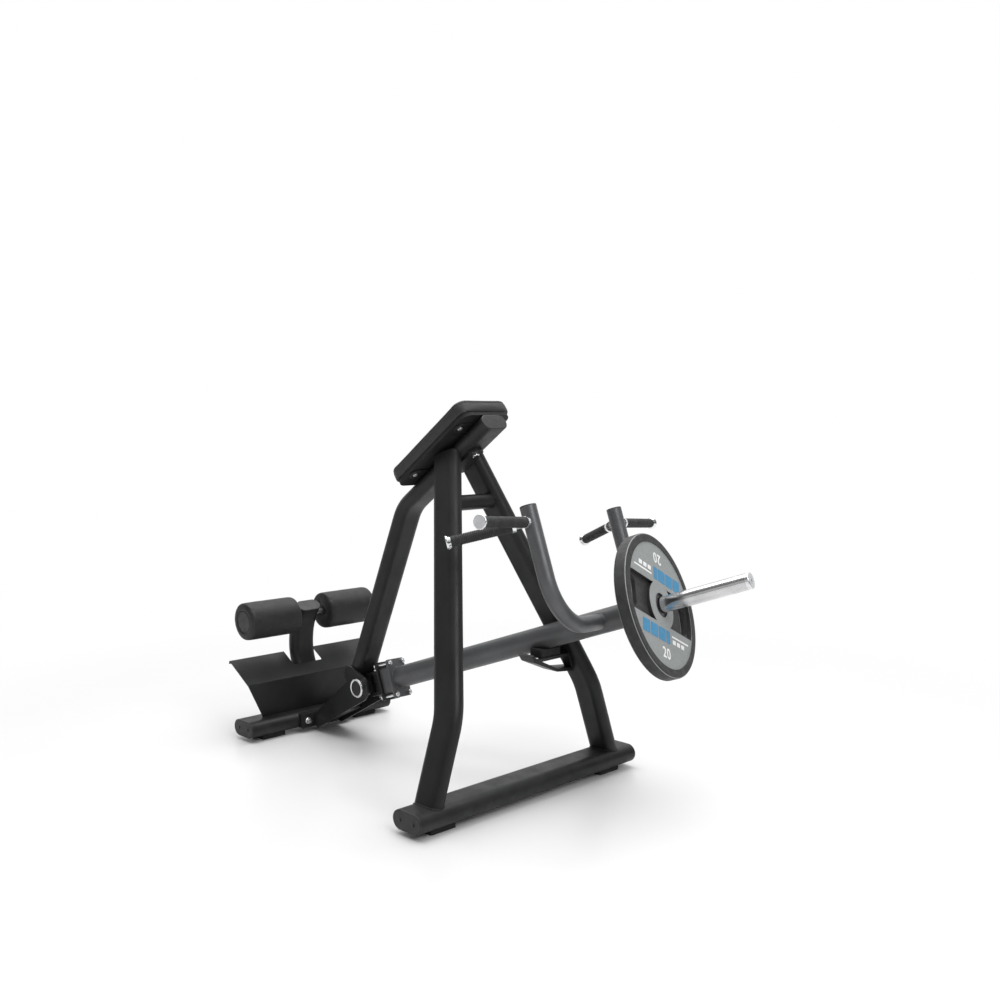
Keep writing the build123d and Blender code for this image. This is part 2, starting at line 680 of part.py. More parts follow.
with BuildPart() as tie_bolts:
    for y, z in tie_places:
        rear = Plane(origin=(BLOCK_START - ROOT_FLANGE, y, z), z_dir=(-1, 0, 0))
        with BuildSketch(rear):
            RegularPolygon(9, 6)
        extrude(amount=7)
        with BuildSketch(rear):
            Circle(5)
        extrude(amount=-(LEVER_START - BLOCK_START + ROOT_FLANGE + 9))

with BuildPart() as tie_nuts:
    for y, z in tie_places:
        with BuildSketch(Plane(origin=(LEVER_START, y, z), z_dir=(1, 0, 0))):
            RegularPolygon(9, 6)
            Circle(5, mode=Mode.SUBTRACT)
        extrude(amount=7)
save(Compound(children=[tie_bolts.part, tie_nuts.part]), "tie_bolts", lever_frame)


# ---------------------------------------------------------------- lever tube, stop and sleeve
def lever_cylinder(radius, start, end, inner=0):
    with BuildPart() as cylinder:
        with BuildSketch(Plane.YZ.offset(start)):
            Circle(radius)
            if inner:
                Circle(inner, mode=Mode.SUBTRACT)
        extrude(amount=end - start)
    return cylinder.part


lever_solid = lever_cylinder(LEVER_RADIUS, LEVER_START, STOP_X)
save(lever_cylinder(LEVER_RADIUS, LEVER_START, STOP_X, LEVER_RADIUS - 4), "lever_tube", lever_frame)

plate_inner = STOP_X + STOP_THICKNESS
plate_outer = plate_inner + DISC_THICKNESS
with BuildPart() as plate_stop:
    add(lever_cylinder(60, STOP_X, plate_inner))
    chamfer(plate_stop.faces().sort_by(Axis.X)[0].edges(), 2)
save(plate_stop.part, "plate_stop", lever_frame)
save(lever_cylinder(SLEEVE_RADIUS, plate_inner, SLEEVE_END - 12, 20), "plate_sleeve", lever_frame)

with BuildPart() as sleeve_cap:
    add(lever_cylinder(SLEEVE_RADIUS, SLEEVE_END - 12, SLEEVE_END))
    fillet(sleeve_cap.faces().sort_by(Axis.X)[-1].edges(), 3)
    add(lever_cylinder(20, SLEEVE_END - 30, SLEEVE_END - 12))
    add(lever_cylinder(9, SLEEVE_END - 5, SLEEVE_END + 1), mode=Mode.SUBTRACT)
save(sleeve_cap.part, "sleeve_cap", lever_frame)

with BuildPart() as sleeve_screw:
    with BuildSketch(Plane.YZ.offset(SLEEVE_END - 5)):
        Circle(7.5)
        RegularPolygon(4.2, 6, mode=Mode.SUBTRACT)
    extrude(amount=5)
save(sleeve_screw.part, "sleeve_screw", lever_frame)


# ---------------------------------------------------------------- handle arms and grips
def yoke_arm(inner):
    """Round tube from the lever's side, out and up to a handle."""
    with BuildPart() as arm:
        with BuildLine(Plane.YZ.offset(YOKE_X)) as route:
            FilletPolyline((0, 0), (-YOKE_Y, 0), (-YOKE_Y, YOKE_TOP), radius=YOKE_BEND_RADIUS)
        with BuildSketch(Plane(origin=route.line @ 0, z_dir=route.line % 0)):
            Circle(YOKE_RADIUS)
            if inner:
                Circle(inner, mode=Mode.SUBTRACT)
        sweep(path=route.line)
        add(lever_solid, mode=Mode.SUBTRACT)
    return arm.part.solids().sort_by(SortBy.VOLUME)[-1]


yoke_near = yoke_arm(YOKE_RADIUS - 3)
yoke_solid = yoke_arm(0)
save(yoke_near, "yoke_arm_near", lever_frame)
save(yoke_near.mirror(Plane.XZ), "yoke_arm_far", lever_frame)

with BuildPart() as yoke_cap:
    with BuildSketch(Plane(origin=(YOKE_X, -YOKE_Y, YOKE_TOP))):
        Circle(YOKE_RADIUS)
    extrude(amount=4)
    fillet(yoke_cap.faces().sort_by(Axis.Z)[-1].edges(), 2.5)
    with BuildSketch(Plane(origin=(YOKE_X, -YOKE_Y, YOKE_TOP))):
        Circle(YOKE_RADIUS - 3)
    extrude(amount=-14)
save(Compound(children=both_sides(yoke_cap.part)), "yoke_caps", lever_frame)

angled = radians(ANGLED_GRIP_TURN)
handle_axes = {
    "outer": (Vector(0, -1, 0), 35, OUTER_GRIP_END),
    "angled": (Vector(-cos(angled), -sin(angled), 0), 50, ANGLED_GRIP_END),
}
grip_origin = Vector(YOKE_X, -YOKE_Y, GRIP_Z)


def handle_ring(direction, start, end, radius, inner=0, trim=False):
    """A ring or rod about a handle's axis, between two distances from the arm's axis."""
    with BuildPart() as ring:
        with BuildSketch(Plane(origin=grip_origin + direction * start, z_dir=direction)):
            Circle(radius)
            if inner:
                Circle(inner, mode=Mode.SUBTRACT)
        extrude(amount=end - start)
        if trim:
            add(yoke_solid, mode=Mode.SUBTRACT)
    return ring.part.solids().sort_by(SortBy.VOLUME)[-1]


def grip_tip(direction, end):
    """Flared metal tip with a rounded face."""
    with BuildPart() as tip:
        with BuildSketch(Plane(origin=grip_origin + direction * (end - GRIP_TIP), z_dir=direction)):
            Circle(GRIP_RADIUS)
        with BuildSketch(Plane(origin=grip_origin + direction * (end - 5), z_dir=direction)):
            Circle(21)
        loft()
        with BuildSketch(Plane(origin=grip_origin + direction * (end - 5), z_dir=direction)):
            Circle(21)
        extrude(amount=5)
        fillet(tip.faces().sort_by(Axis(grip_origin, direction))[-1].edges(), 2.5)
    return tip.part


bars = []
collars = []
tips = []
for name, (direction, collar_start, end) in handle_axes.items():
    collar_end = collar_start + COLLAR_LENGTH
    bars += both_sides(handle_ring(direction, 23, end - GRIP_TIP, BAR_RADIUS, trim=True))
    collars += both_sides(handle_ring(direction, collar_start, collar_end, GRIP_RADIUS + 1.5, BAR_RADIUS))
    tips += both_sides(grip_tip(direction, end))
    grip = handle_ring(direction, collar_end, end - GRIP_TIP, GRIP_RADIUS, BAR_RADIUS)
    save(Compound(children=both_sides(grip)), f"{name}_grips", lever_frame)
save(Compound(children=bars), "handle_bars", lever_frame)
save(Compound(children=collars), "grip_collars", lever_frame)
save(Compound(children=tips), "grip_tips", lever_frame)


# ---------------------------------------------------------------- weight plate
RIM_WIDTH = 27
FACE_RECESS = 3
WINDOW_HALF = 62                   # half height of each grip window
WINDOW_TURN = -21                  # degrees, the print and windows turn with the plate
plate_bore = 38
disc_middle = (plate_inner + plate_outer) / 2 + 0.3
face_frame = Plane(
    origin=(disc_middle, 0, 0),
    x_dir=(0, cos(radians(WINDOW_TURN)), sin(radians(WINDOW_TURN))),
    z_dir=(1, 0, 0),
)


def windows(depth_start, depth_end, low, high, half, corner):
    """The space of a pair of windows, either side of the hub, between two depths."""
    with BuildPart() as space:
        with BuildSketch(face_frame.offset(depth_start)):
            with Locations(((low + high) / 2, 0), (-(low + high) / 2, 0)):
                RectangleRounded(high - low, 2 * half, corner)
            Circle(DISC_RADIUS - RIM_WIDTH, mode=Mode.INTERSECT)
            Circle(75, mode=Mode.SUBTRACT)
        extrude(amount=depth_end - depth_start)
    return space.part


with BuildPart() as weight_plate:
    half = DISC_THICKNESS / 2
    with BuildSketch(face_frame.offset(-half)):
        Circle(DISC_RADIUS)
    extrude(amount=DISC_THICKNESS)
    rims = weight_plate.edges().filter_by(GeomType.CIRCLE)
    fillet(rims, 8)
    with BuildSketch(face_frame.offset(half)):
        Circle(DISC_RADIUS - RIM_WIDTH)
    extrude(amount=-FACE_RECESS, mode=Mode.SUBTRACT)
    with BuildSketch(face_frame.offset(-half)):
        Circle(DISC_RADIUS - RIM_WIDTH)
        Circle(75, mode=Mode.SUBTRACT)
    extrude(amount=FACE_RECESS, mode=Mode.SUBTRACT)
    add(windows(half, half - 15, 40, 230, WINDOW_HALF, 4), mode=Mode.SUBTRACT)
    add(windows(-half, -half + 15, 40, 230, WINDOW_HALF, 4), mode=Mode.SUBTRACT)
    add(windows(-half, half, 140, 186, 50, 18), mode=Mode.SUBTRACT)
    with BuildSketch(face_frame.offset(-half)):
        Circle(plate_bore)
    extrude(amount=DISC_THICKNESS, mode=Mode.SUBTRACT)
save(weight_plate.part, "weight_plate", lever_frame)

hub_start = disc_middle - DISC_THICKNESS / 2
save(lever_cylinder(plate_bore, hub_start, hub_start + 33, SLEEVE_RADIUS + 0.4), "plate_hub_ring", lever_frame)


# ---------------------------------------------------------------- parking rest on the far leg
REST_X = 1030
REST_WIDTH = 60
REST_TOP = 414
REST_SCREW_Y = 104
with BuildPart() as park_rest:
    with BuildSketch(Plane.YZ.offset(REST_X - REST_WIDTH / 2)):
        with BuildLine():
            Polyline(
                (300, REST_TOP), (92, REST_TOP), (80, 430), (70, 426), (86, REST_TOP - 10),
                (190, REST_TOP - 54), (300, REST_TOP - 66), close=True,
            )
        make_face()
        with BuildLine():
            Polyline(
                (300, REST_TOP - 10), (118, REST_TOP - 10), (192, REST_TOP - 44),
                (300, REST_TOP - 56), close=True,
            )
        make_face(mode=Mode.SUBTRACT)
    extrude(amount=REST_WIDTH)
    add(leg_solid.mirror(Plane.XZ), mode=Mode.SUBTRACT)
    with BuildSketch(Plane.XY.offset(REST_TOP)):
        with Locations(*[(REST_X + x, REST_SCREW_Y) for x in (-18, 18)]):
            Circle(4)
    extrude(amount=-8, mode=Mode.SUBTRACT)
save(park_rest.part.solids().sort_by(Axis.Y)[0], "park_rest")

CRADLE_GAP = 2.6                   # round the parked lever
lever_clear = lever_frame.from_local_coords(lever_cylinder(LEVER_RADIUS + CRADLE_GAP, LEVER_START, STOP_X))
with BuildPart() as park_bumper:
    with BuildSketch(Plane.XY.offset(REST_TOP)):
        with Locations((REST_X, 164)):
            RectangleRounded(REST_WIDTH - 8, 92, 6)
    extrude(amount=26)
    add(lever_clear, mode=Mode.SUBTRACT)
bumper_low = park_bumper.part.solids().sort_by(SortBy.VOLUME)[-1]
save(bumper_low, "park_bumper")

with BuildPart() as park_screws:
    for x in (REST_X - 18, REST_X + 18):
        add(bolt(Plane(origin=(x, REST_SCREW_Y, REST_TOP)), 7, 4, 4, 8))
save(park_screws.part, "park_screws")
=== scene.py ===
"""Looks of the incline lever row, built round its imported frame.  Metres, in the row's frame."""
import json
import math

import bmesh
import bpy
import numpy as np
from mathutils import Matrix, Vector, noise
from mathutils.bvhtree import BVHTree


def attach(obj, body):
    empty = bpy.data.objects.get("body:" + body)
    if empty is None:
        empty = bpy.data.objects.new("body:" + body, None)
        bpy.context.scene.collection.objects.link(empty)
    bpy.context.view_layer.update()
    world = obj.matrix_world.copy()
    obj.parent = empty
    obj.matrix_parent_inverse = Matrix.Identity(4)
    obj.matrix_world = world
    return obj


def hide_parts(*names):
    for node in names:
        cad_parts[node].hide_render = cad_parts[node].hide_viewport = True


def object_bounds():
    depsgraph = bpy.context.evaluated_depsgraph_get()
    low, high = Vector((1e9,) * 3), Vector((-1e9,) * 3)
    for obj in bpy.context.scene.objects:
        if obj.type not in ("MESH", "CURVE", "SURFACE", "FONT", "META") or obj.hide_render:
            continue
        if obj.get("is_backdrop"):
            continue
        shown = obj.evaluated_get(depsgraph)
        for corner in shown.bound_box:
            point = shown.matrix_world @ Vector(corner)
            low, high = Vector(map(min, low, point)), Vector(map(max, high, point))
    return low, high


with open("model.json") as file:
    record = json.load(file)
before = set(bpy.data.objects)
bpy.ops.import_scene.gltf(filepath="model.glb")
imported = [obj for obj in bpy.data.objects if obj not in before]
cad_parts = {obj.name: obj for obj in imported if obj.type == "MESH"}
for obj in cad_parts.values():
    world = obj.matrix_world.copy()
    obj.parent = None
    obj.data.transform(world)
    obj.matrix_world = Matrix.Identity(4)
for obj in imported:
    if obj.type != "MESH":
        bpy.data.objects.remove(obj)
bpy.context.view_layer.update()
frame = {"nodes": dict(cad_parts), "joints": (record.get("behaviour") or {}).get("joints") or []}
nodes = frame["nodes"]
joints = {joint["name"]: joint for joint in frame["joints"]}
MM = 0.001


# ------------------------------------------------------------------ frames of the object
def joint_axis(name):
    return Vector(joints[name]["axis"]).normalized()


def joint_place(name):
    return Vector(joints[name]["pos_m"])


LEVER_Z = joint_axis("lever_swing")
LEVER_X = joint_axis("plate_slide")
LEVER_Y = LEVER_Z.cross(LEVER_X).normalized()
LEVER_PIN = joint_place("lever_swing")
EAST = Vector((1, 0, 0))
SIDE = Vector((0, 1, 0))
UP = Vector((0, 0, 1))

node_points = {
    name: np.array([v.co for v in node.data.vertices], float).reshape(-1, 3)
    for name, node in nodes.items()
}


def extent(node, direction, keep=None):
    """Lowest and highest reach of a node's points along a direction."""
    points = node_points[node]
    if keep is not None:
        points = points[keep(points)]
    reach = points @ np.array(direction)
    return float(reach.min()), float(reach.max())


def middle(node, axes, keep=None):
    """Middle of a node's box along three axes, as a point."""
    place = Vector((0, 0, 0))
    for axis in axes:
        low, high = extent(node, axis, keep)
        place += axis * ((low + high) / 2)
    return place


# ------------------------------------------------------------------ materials
class Paint:
    """A principled material and the few node chains that the finishes here need."""

    def __init__(self, name, metallic=0.0, specular=0.5):
        self.material = bpy.data.materials.new(name)
        self.material.use_nodes = True
        self.tree = self.material.node_tree
        self.tree.nodes.clear()
        self.shader = self.add("ShaderNodeBsdfPrincipled")
        output = self.add("ShaderNodeOutputMaterial")
        self.join(self.shader.outputs["BSDF"], output.inputs["Surface"])
        self.set("Metallic", metallic)
        self.set("Specular IOR Level", specular)
        self.coordinates = self.add("ShaderNodeTexCoord").outputs["Object"]
        self.normal = None

    def add(self, kind):
        return self.tree.nodes.new(kind)

    def join(self, source, target):
        self.tree.links.new(source, target)

    def set(self, socket, value):
        self.shader.inputs[socket].default_value = value

    def feed(self, node, socket, value):
        """Link a socket, or set it if the value is a plain one."""
        if isinstance(value, bpy.types.NodeSocket):
            self.join(value, node.inputs[socket])
        else:
            node.inputs[socket].default_value = value

    def math(self, operation, first, second=0.0, clamp=False):
        node = self.add("ShaderNodeMath")
        node.operation = operation
        node.use_clamp = clamp
        self.feed(node, 0, first)
        self.feed(node, 1, second)
        return node.outputs[0]

    def along(self, direction, offset=0.0):
        """Distance of the shaded point along a direction of the row's frame."""
        node = self.add("ShaderNodeVectorMath")
        node.operation = "DOT_PRODUCT"
        self.join(self.coordinates, node.inputs[0])
        node.inputs[1].default_value = direction
        return self.math("SUBTRACT", node.outputs["Value"], offset)

    def stretched(self, axes, scales):
        """Coordinates along three axes, each with its own scale."""
        node = self.add("ShaderNodeCombineXYZ")
        for place, (axis, scale) in enumerate(zip(axes, scales)):
            self.join(self.math("MULTIPLY", self.along(axis), scale), node.inputs[place])
        return node.outputs[0]

    def noise(self, scale, detail=4.0, roughness=0.55, vector=None, distortion=0.0):
        node = self.add("ShaderNodeTexNoise")
        self.join(vector or self.coordinates, node.inputs["Vector"])
        node.inputs["Scale"].default_value = scale
        node.inputs["Detail"].default_value = detail
        node.inputs["Roughness"].default_value = roughness
        node.inputs["Distortion"].default_value = distortion
        return node.outputs[0]

    def cells(self, scale, feature="F1", vector=None):
        node = self.add("ShaderNodeTexVoronoi")
        node.feature = feature
        self.join(vector or self.coordinates, node.inputs["Vector"])
        node.inputs["Scale"].default_value = scale
        return node.outputs["Distance"]

    def span(self, value, low, high, start=0.0, end=1.0):
        """Smooth map of a value from one range to another."""
        node = self.add("ShaderNodeMapRange")
        node.interpolation_type = "SMOOTHSTEP"
        self.feed(node, "Value", value)
        node.inputs["From Min"].default_value = low
        node.inputs["From Max"].default_value = high
        node.inputs["To Min"].default_value = start
        node.inputs["To Max"].default_value = end
        return node.outputs["Result"]

    def blend(self, factor, first, second):
        node = self.add("ShaderNodeMix")
        node.data_type = "RGBA"
        self.feed(node, 0, factor)
        for socket, colour in ((6, first), (7, second)):
            if isinstance(colour, tuple):
                colour = (*colour, 1.0)
            self.feed(node, socket, colour)
        return node.outputs[2]

    def bump(self, height, strength, distance):
        node = self.add("ShaderNodeBump")
        node.inputs["Strength"].default_value = strength
        node.inputs["Distance"].default_value = distance
        self.join(height, node.inputs["Height"])
        if self.normal is not None:
            self.join(self.normal, node.inputs["Normal"])
        self.normal = node.outputs["Normal"]

    def edges(self, radius):
        """How near a sharp edge a point is, from 0 to 1.  The edges also catch light as rounded ones do."""
        bevel = self.add("ShaderNodeBevel")
        bevel.samples = 6
        bevel.inputs["Radius"].default_value = radius
        geometry = self.add("ShaderNodeNewGeometry")
        node = self.add("ShaderNodeVectorMath")
        node.operation = "DOT_PRODUCT"
        self.join(bevel.outputs["Normal"], node.inputs[0])
        self.join(geometry.outputs["Normal"], node.inputs[1])
        self.normal = bevel.outputs["Normal"]
        return self.span(self.math("SUBTRACT", 1.0, node.outputs["Value"]), 0.03, 0.26)

    def finish(self, colour=None, roughness=None):
        if colour is not None:
            self.join(colour, self.shader.inputs["Base Color"])
        if roughness is not None:
            self.join(roughness, self.shader.inputs["Roughness"])
        if self.normal is not None:
            self.join(self.normal, self.shader.inputs["Normal"])
        return self.material


def powder_coat(name, dark, light, worn, roughness, flake=0.0, metallic=0.0):
    """Baked powder coat: orange peel, cloudy sheen, rubbed edges and faint scuffs."""
    paint = Paint(name, metallic=metallic, specular=0.32)
    edge = paint.edges(1.6 * MM)
    colour = paint.blend(paint.span(paint.noise(7.0, 5.0), 0.35, 0.68), dark, light)
    if flake:
        sparkle = paint.span(paint.cells(1500.0), 0.02, 0.20, flake, 0.0)
        colour = paint.blend(sparkle, colour, tuple(min(1.0, 2.6 * c) for c in light))
    rubbed = paint.math("MULTIPLY", edge, paint.span(paint.noise(38.0, 6.0, 0.7), 0.42, 0.66, 0.10, 0.75))
    colour = paint.blend(rubbed, colour, worn)
    scratch_field = paint.stretched((EAST, SIDE, UP), (1.0, 0.3, 0.12))
    scratches = paint.span(paint.noise(310.0, 3.0, 0.6, scratch_field), 0.70, 0.78)
    scuffed = paint.math("MULTIPLY", scratches, paint.span(paint.noise(5.0, 3.0), 0.52, 0.66, 0.0, 0.35))
    colour = paint.blend(scuffed, colour, worn)
    low_dust = paint.math("MULTIPLY", paint.span(paint.along(UP), 0.13, 0.0), 0.03)
    dusty = paint.math("MULTIPLY", low_dust, paint.span(paint.noise(21.0, 6.0), 0.40, 0.62))
    colour = paint.blend(dusty, colour, (0.30, 0.29, 0.27))
    rough = paint.span(paint.noise(12.0, 6.0, 0.65), 0.30, 0.72, roughness - 0.07, roughness + 0.09)
    paint.bump(paint.noise(950.0, 3.0, 0.5), 0.16, 0.25 * MM)
    paint.bump(paint.noise(160.0, 2.0, 0.5), 0.05, 0.6 * MM)
    return paint.finish(colour, rough)


def moulded(name, dark, light, roughness, grain=700.0, grain_strength=0.22, worn=None, edge=1.0):
    """Moulded plastic or rubber with a fine leather-like grain."""
    paint = Paint(name, specular=0.4)
    near_edge = paint.edges(edge * MM)
    colour = paint.blend(paint.span(paint.noise(26.0, 6.0, 0.6), 0.34, 0.70), dark, light)
    if worn:
        rubbed = paint.math("MULTIPLY", near_edge, paint.span(paint.noise(55.0, 5.0), 0.40, 0.66, 0.05, 0.6))
        colour = paint.blend(rubbed, colour, worn)
    rough = paint.span(paint.noise(60.0, 5.0), 0.30, 0.70, roughness - 0.08, roughness + 0.08)
    paint.bump(paint.cells(grain), grain_strength, 0.22 * MM)
    paint.bump(paint.noise(grain * 2.3, 2.0), 0.10, 0.1 * MM)
    return paint.finish(colour, rough)


def bright_metal(name, dark, light, roughness, axes=(EAST, SIDE, UP), stain=None):
    """Plated or bare metal with brushing along the first of three axes, hand marks and a painted highlight on
    sharp edges.
    """
    paint = Paint(name, metallic=1.0)
    edge = paint.edges(0.7 * MM)
    colour = paint.blend(paint.span(paint.noise(18.0, 5.0), 0.30, 0.72), dark, light)
    if stain:
        dirt = paint.span(paint.noise(70.0, 7.0, 0.7), 0.58, 0.74, 0.0, 0.45)
        colour = paint.blend(dirt, colour, stain)
    # painted highlight: sharp edges are lightened, the same on every edge
    rim = tuple(min(1.0, 1.15 * c) for c in light)
    colour = paint.blend(paint.math("MULTIPLY", edge, 0.35), colour, rim)
    lines = paint.noise(1.0, 3.0, 0.6, paint.stretched(axes, (2600.0, 40.0, 40.0)))
    marks = paint.span(paint.noise(30.0, 7.0, 0.7), 0.40, 0.70, 0.0, 0.14)
    rough = paint.math("ADD", paint.math("ADD", marks, roughness), paint.math("MULTIPLY", lines, 0.10))
    paint.bump(lines, 0.10, 0.05 * MM)
    return paint.finish(colour, rough)


FRAME_DARK = (0.0095, 0.0098, 0.0104)
FRAME_LIGHT = (0.0150, 0.0154, 0.0162)
frame_coat = powder_coat("frame_coat", FRAME_DARK, FRAME_LIGHT, (0.075, 0.076, 0.078), 0.46)
lever_coat = powder_coat(
    "lever_coat", (0.096, 0.098, 0.101), (0.126, 0.128, 0.132), (0.24, 0.24, 0.245), 0.40, 0.30, 0.35
)
black_plastic = moulded(
    "black_plastic", (0.014, 0.014, 0.015), (0.023, 0.023, 0.024), 0.44, worn=(0.07, 0.07, 0.07)
)
cap_plastic = moulded(
    "cap_plastic", (0.034, 0.035, 0.037), (0.046, 0.047, 0.049), 0.50, worn=(0.11, 0.11, 0.11)
)
rubber = moulded(
    "rubber", (0.012, 0.012, 0.012), (0.020, 0.020, 0.020), 0.78, 520.0, 0.35, (0.06, 0.06, 0.058), 1.5
)
core_plastic = moulded("core_plastic", (0.018, 0.018, 0.019), (0.030, 0.030, 0.031), 0.52)
black_steel = bright_metal("black_steel", (0.055, 0.055, 0.058), (0.10, 0.10, 0.105), 0.34)
screw_steel = bright_metal("screw_steel", (0.52, 0.52, 0.53), (0.72, 0.72, 0.73), 0.26)
bronze = bright_metal("bronze", (0.42, 0.25, 0.10), (0.56, 0.36, 0.17), 0.34, stain=(0.16, 0.09, 0.04))
steel = bright_metal("steel", (0.44, 0.44, 0.45), (0.60, 0.60, 0.61), 0.30, (SIDE, LEVER_X, UP))
chrome = bright_metal("chrome", (0.70, 0.71, 0.72), (0.86, 0.87, 0.88), 0.11)
LEVER_AXES = (LEVER_X, LEVER_Y, LEVER_Z)
# the hub ring's steel is made dark: painted shade, standing for the shade in the hole round the sleeve
hub_steel_painted_shade = bright_metal("hub_steel_painted_shade", (0.12, 0.12, 0.125), (0.20, 0.20, 0.205), 0.36, LEVER_AXES)


def sleeve_chrome():
    """Hard chrome that plates have slid over: rings of fine scratches and long rubs."""
    paint = Paint("sleeve_chrome", metallic=1.0)
    colour = paint.blend(paint.span(paint.noise(14.0, 5.0), 0.3, 0.7), (0.54, 0.54, 0.55), (0.66, 0.66, 0.67))
    rings = paint.noise(1.0, 4.0, 0.65, paint.stretched(LEVER_AXES, (900.0, 6.0, 6.0)))
    rubs = paint.noise(1.0, 4.0, 0.7, paint.stretched(LEVER_AXES, (9.0, 700.0, 700.0)))
    rubbed = paint.span(rubs, 0.56, 0.72)
    colour = paint.blend(paint.math("MULTIPLY", rubbed, 0.35), colour, (0.42, 0.42, 0.43))
    rough = paint.math(
        "ADD", paint.span(rings, 0.35, 0.70, 0.13, 0.24), paint.math("MULTIPLY", rubbed, 0.14)
    )
    paint.bump(rings, 0.07, 0.05 * MM)
    return paint.finish(colour, rough)


def board_paint():
    """Black-stained plywood back board with its open grain."""
    paint = Paint("board", specular=0.3)
    grain = paint.noise(1.0, 6.0, 0.65, paint.stretched((SIDE, PAD_LONG, PAD_OUT), (340.0, 16.0, 60.0)), 0.4)
    colour = paint.blend(paint.span(grain, 0.35, 0.66), (0.009, 0.009, 0.009), (0.021, 0.020, 0.019))
    rough = paint.span(grain, 0.3, 0.7, 0.60, 0.76)
    paint.bump(grain, 0.30, 0.3 * MM)
    return paint.finish(colour, rough)


def vinyl(name, dark, light, roughness, grain, depth):
    """Upholstery vinyl: pebbled leather grain, creases and a soft shine."""
    paint = Paint(name, specular=0.42)
    pebbles = paint.cells(grain, "F1")
    fine = paint.noise(grain * 2.1, 3.0, 0.55)
    creases = paint.span(paint.noise(34.0, 5.0, 0.62, distortion=0.8), 0.38, 0.64)
    colour = paint.blend(paint.span(pebbles, 0.10, 0.75), dark, light)
    colour = paint.blend(paint.span(paint.noise(6.0, 4.0), 0.50, 0.72, 0.0, 0.35), colour, light)
    pebbled = paint.span(pebbles, 0.05, 0.8, roughness, roughness + 0.12)
    rough = paint.math("ADD", pebbled, paint.math("MULTIPLY", creases, 0.07))
    paint.bump(creases, 0.12, 0.9 * MM)
    paint.bump(pebbles, depth, 0.35 * MM)
    paint.bump(fine, 0.12, 0.12 * MM)
    return paint.finish(colour, rough)


def foam_skin():
    """Dense roller foam with a matt skin, closed pores with painted shade in them, and rubbed patches."""
    paint = Paint("foam_skin", specular=0.38)
    pores = paint.cells(900.0, "SMOOTH_F1")
    soft = paint.noise(46.0, 6.0, 0.6)
    colour = paint.blend(paint.span(soft, 0.35, 0.68), (0.014, 0.014, 0.015), (0.023, 0.023, 0.024))
    # painted shade: the colour is darkened in the pits of the pores
    colour = paint.blend(paint.span(pores, 0.05, 0.22, 0.35, 0.0), colour, (0.010, 0.010, 0.010))
    rough = paint.span(soft, 0.32, 0.7, 0.50, 0.66)
    paint.bump(soft, 0.10, 0.8 * MM)
    paint.bump(pores, 0.30, 0.25 * MM)
    return paint.finish(colour, rough)


def plate_skin(centre, face_depth):
    """Moulded rubber plate with grey print on the flat of both faces."""
    paint = Paint("plate_rubber", specular=0.42)
    edge = paint.edges(1.2 * MM)
    black = paint.blend(
        paint.span(paint.noise(30.0, 6.0), 0.35, 0.7), (0.020, 0.020, 0.021), (0.033, 0.033, 0.034)
    )
    rubbed = paint.math("MULTIPLY", edge, paint.span(paint.noise(60.0, 6.0), 0.42, 0.66, 0.05, 0.5))
    black = paint.blend(rubbed, black, (0.11, 0.11, 0.11))
    grey = paint.blend(
        paint.span(paint.noise(240.0, 5.0, 0.7), 0.38, 0.62), (0.232, 0.246, 0.244), (0.285, 0.300, 0.298)
    )
    wear = paint.span(paint.noise(90.0, 8.0, 0.75), 0.64, 0.74, 0.0, 0.6)
    grey = paint.blend(wear, grey, (0.10, 0.105, 0.105))
    depth = paint.math("ABSOLUTE", paint.along(LEVER_X, centre.dot(LEVER_X)))
    from_face = paint.math("ABSOLUTE", paint.math("SUBTRACT", depth, face_depth))
    printed = paint.math("LESS_THAN", from_face, 0.9 * MM)
    colour = paint.blend(printed, black, grey)
    rough = paint.span(paint.noise(75.0, 5.0), 0.3, 0.7, 0.50, 0.66)
    paint.bump(paint.noise(1500.0, 2.0), 0.16, 0.15 * MM)
    paint.bump(paint.noise(260.0, 4.0), 0.10, 0.3 * MM)
    return paint.finish(colour, rough)


def ink(name, dark, light):
    """Screen-printed ink with small worn spots."""
    paint = Paint(name, specular=0.4)
    colour = paint.blend(paint.span(paint.noise(300.0, 5.0), 0.38, 0.66), dark, light)
    worn = paint.span(paint.noise(120.0, 8.0, 0.75), 0.66, 0.75, 0.0, 0.55)
    colour = paint.blend(worn, colour, tuple(0.5 * c for c in dark))
    rough = paint.span(paint.noise(90.0, 4.0), 0.3, 0.7, 0.46, 0.62)
    paint.bump(paint.noise(900.0, 2.0), 0.12, 0.12 * MM)
    return paint.finish(colour, rough)


def dress(node, material):
    """Give one carried-over CAD node its material."""
    mesh = nodes[node].data
    mesh.materials.clear()
    mesh.materials.append(material)


# ------------------------------------------------------------------ mesh helpers
def piece(name, vertices, faces, material, body, slot, smooth=True):
    """A finished mesh piece, riding on a CAD body."""
    mesh = bpy.data.meshes.new(name)
    mesh.from_pydata([tuple(v) for v in vertices], [], faces)
    mesh.validate()
    clean = bmesh.new()
    clean.from_mesh(mesh)
    bmesh.ops.recalc_face_normals(clean, faces=clean.faces)
    clean.to_mesh(mesh)
    clean.free()
    mesh.polygons.foreach_set("use_smooth", [smooth] * len(mesh.polygons))
    mesh.materials.append(material)
    made = bpy.data.objects.new(name, mesh)
    bpy.context.scene.collection.objects.link(made)
    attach(made, body)
    return made


def joined(parts):
    """Vertices and faces of several meshes as one."""
    vertices, faces = [], []
    for more_vertices, more_faces in parts:
        start = len(vertices)
        vertices += more_vertices
        faces += [tuple(start + i for i in face) for face in more_faces]
    return vertices, faces


def across_axes(direction):
    """Two directions square to one and to each other."""
    helper = UP if abs(direction.z) < 0.9 else EAST
    first = direction.cross(helper).normalized()
    return first, direction.cross(first).normalized()


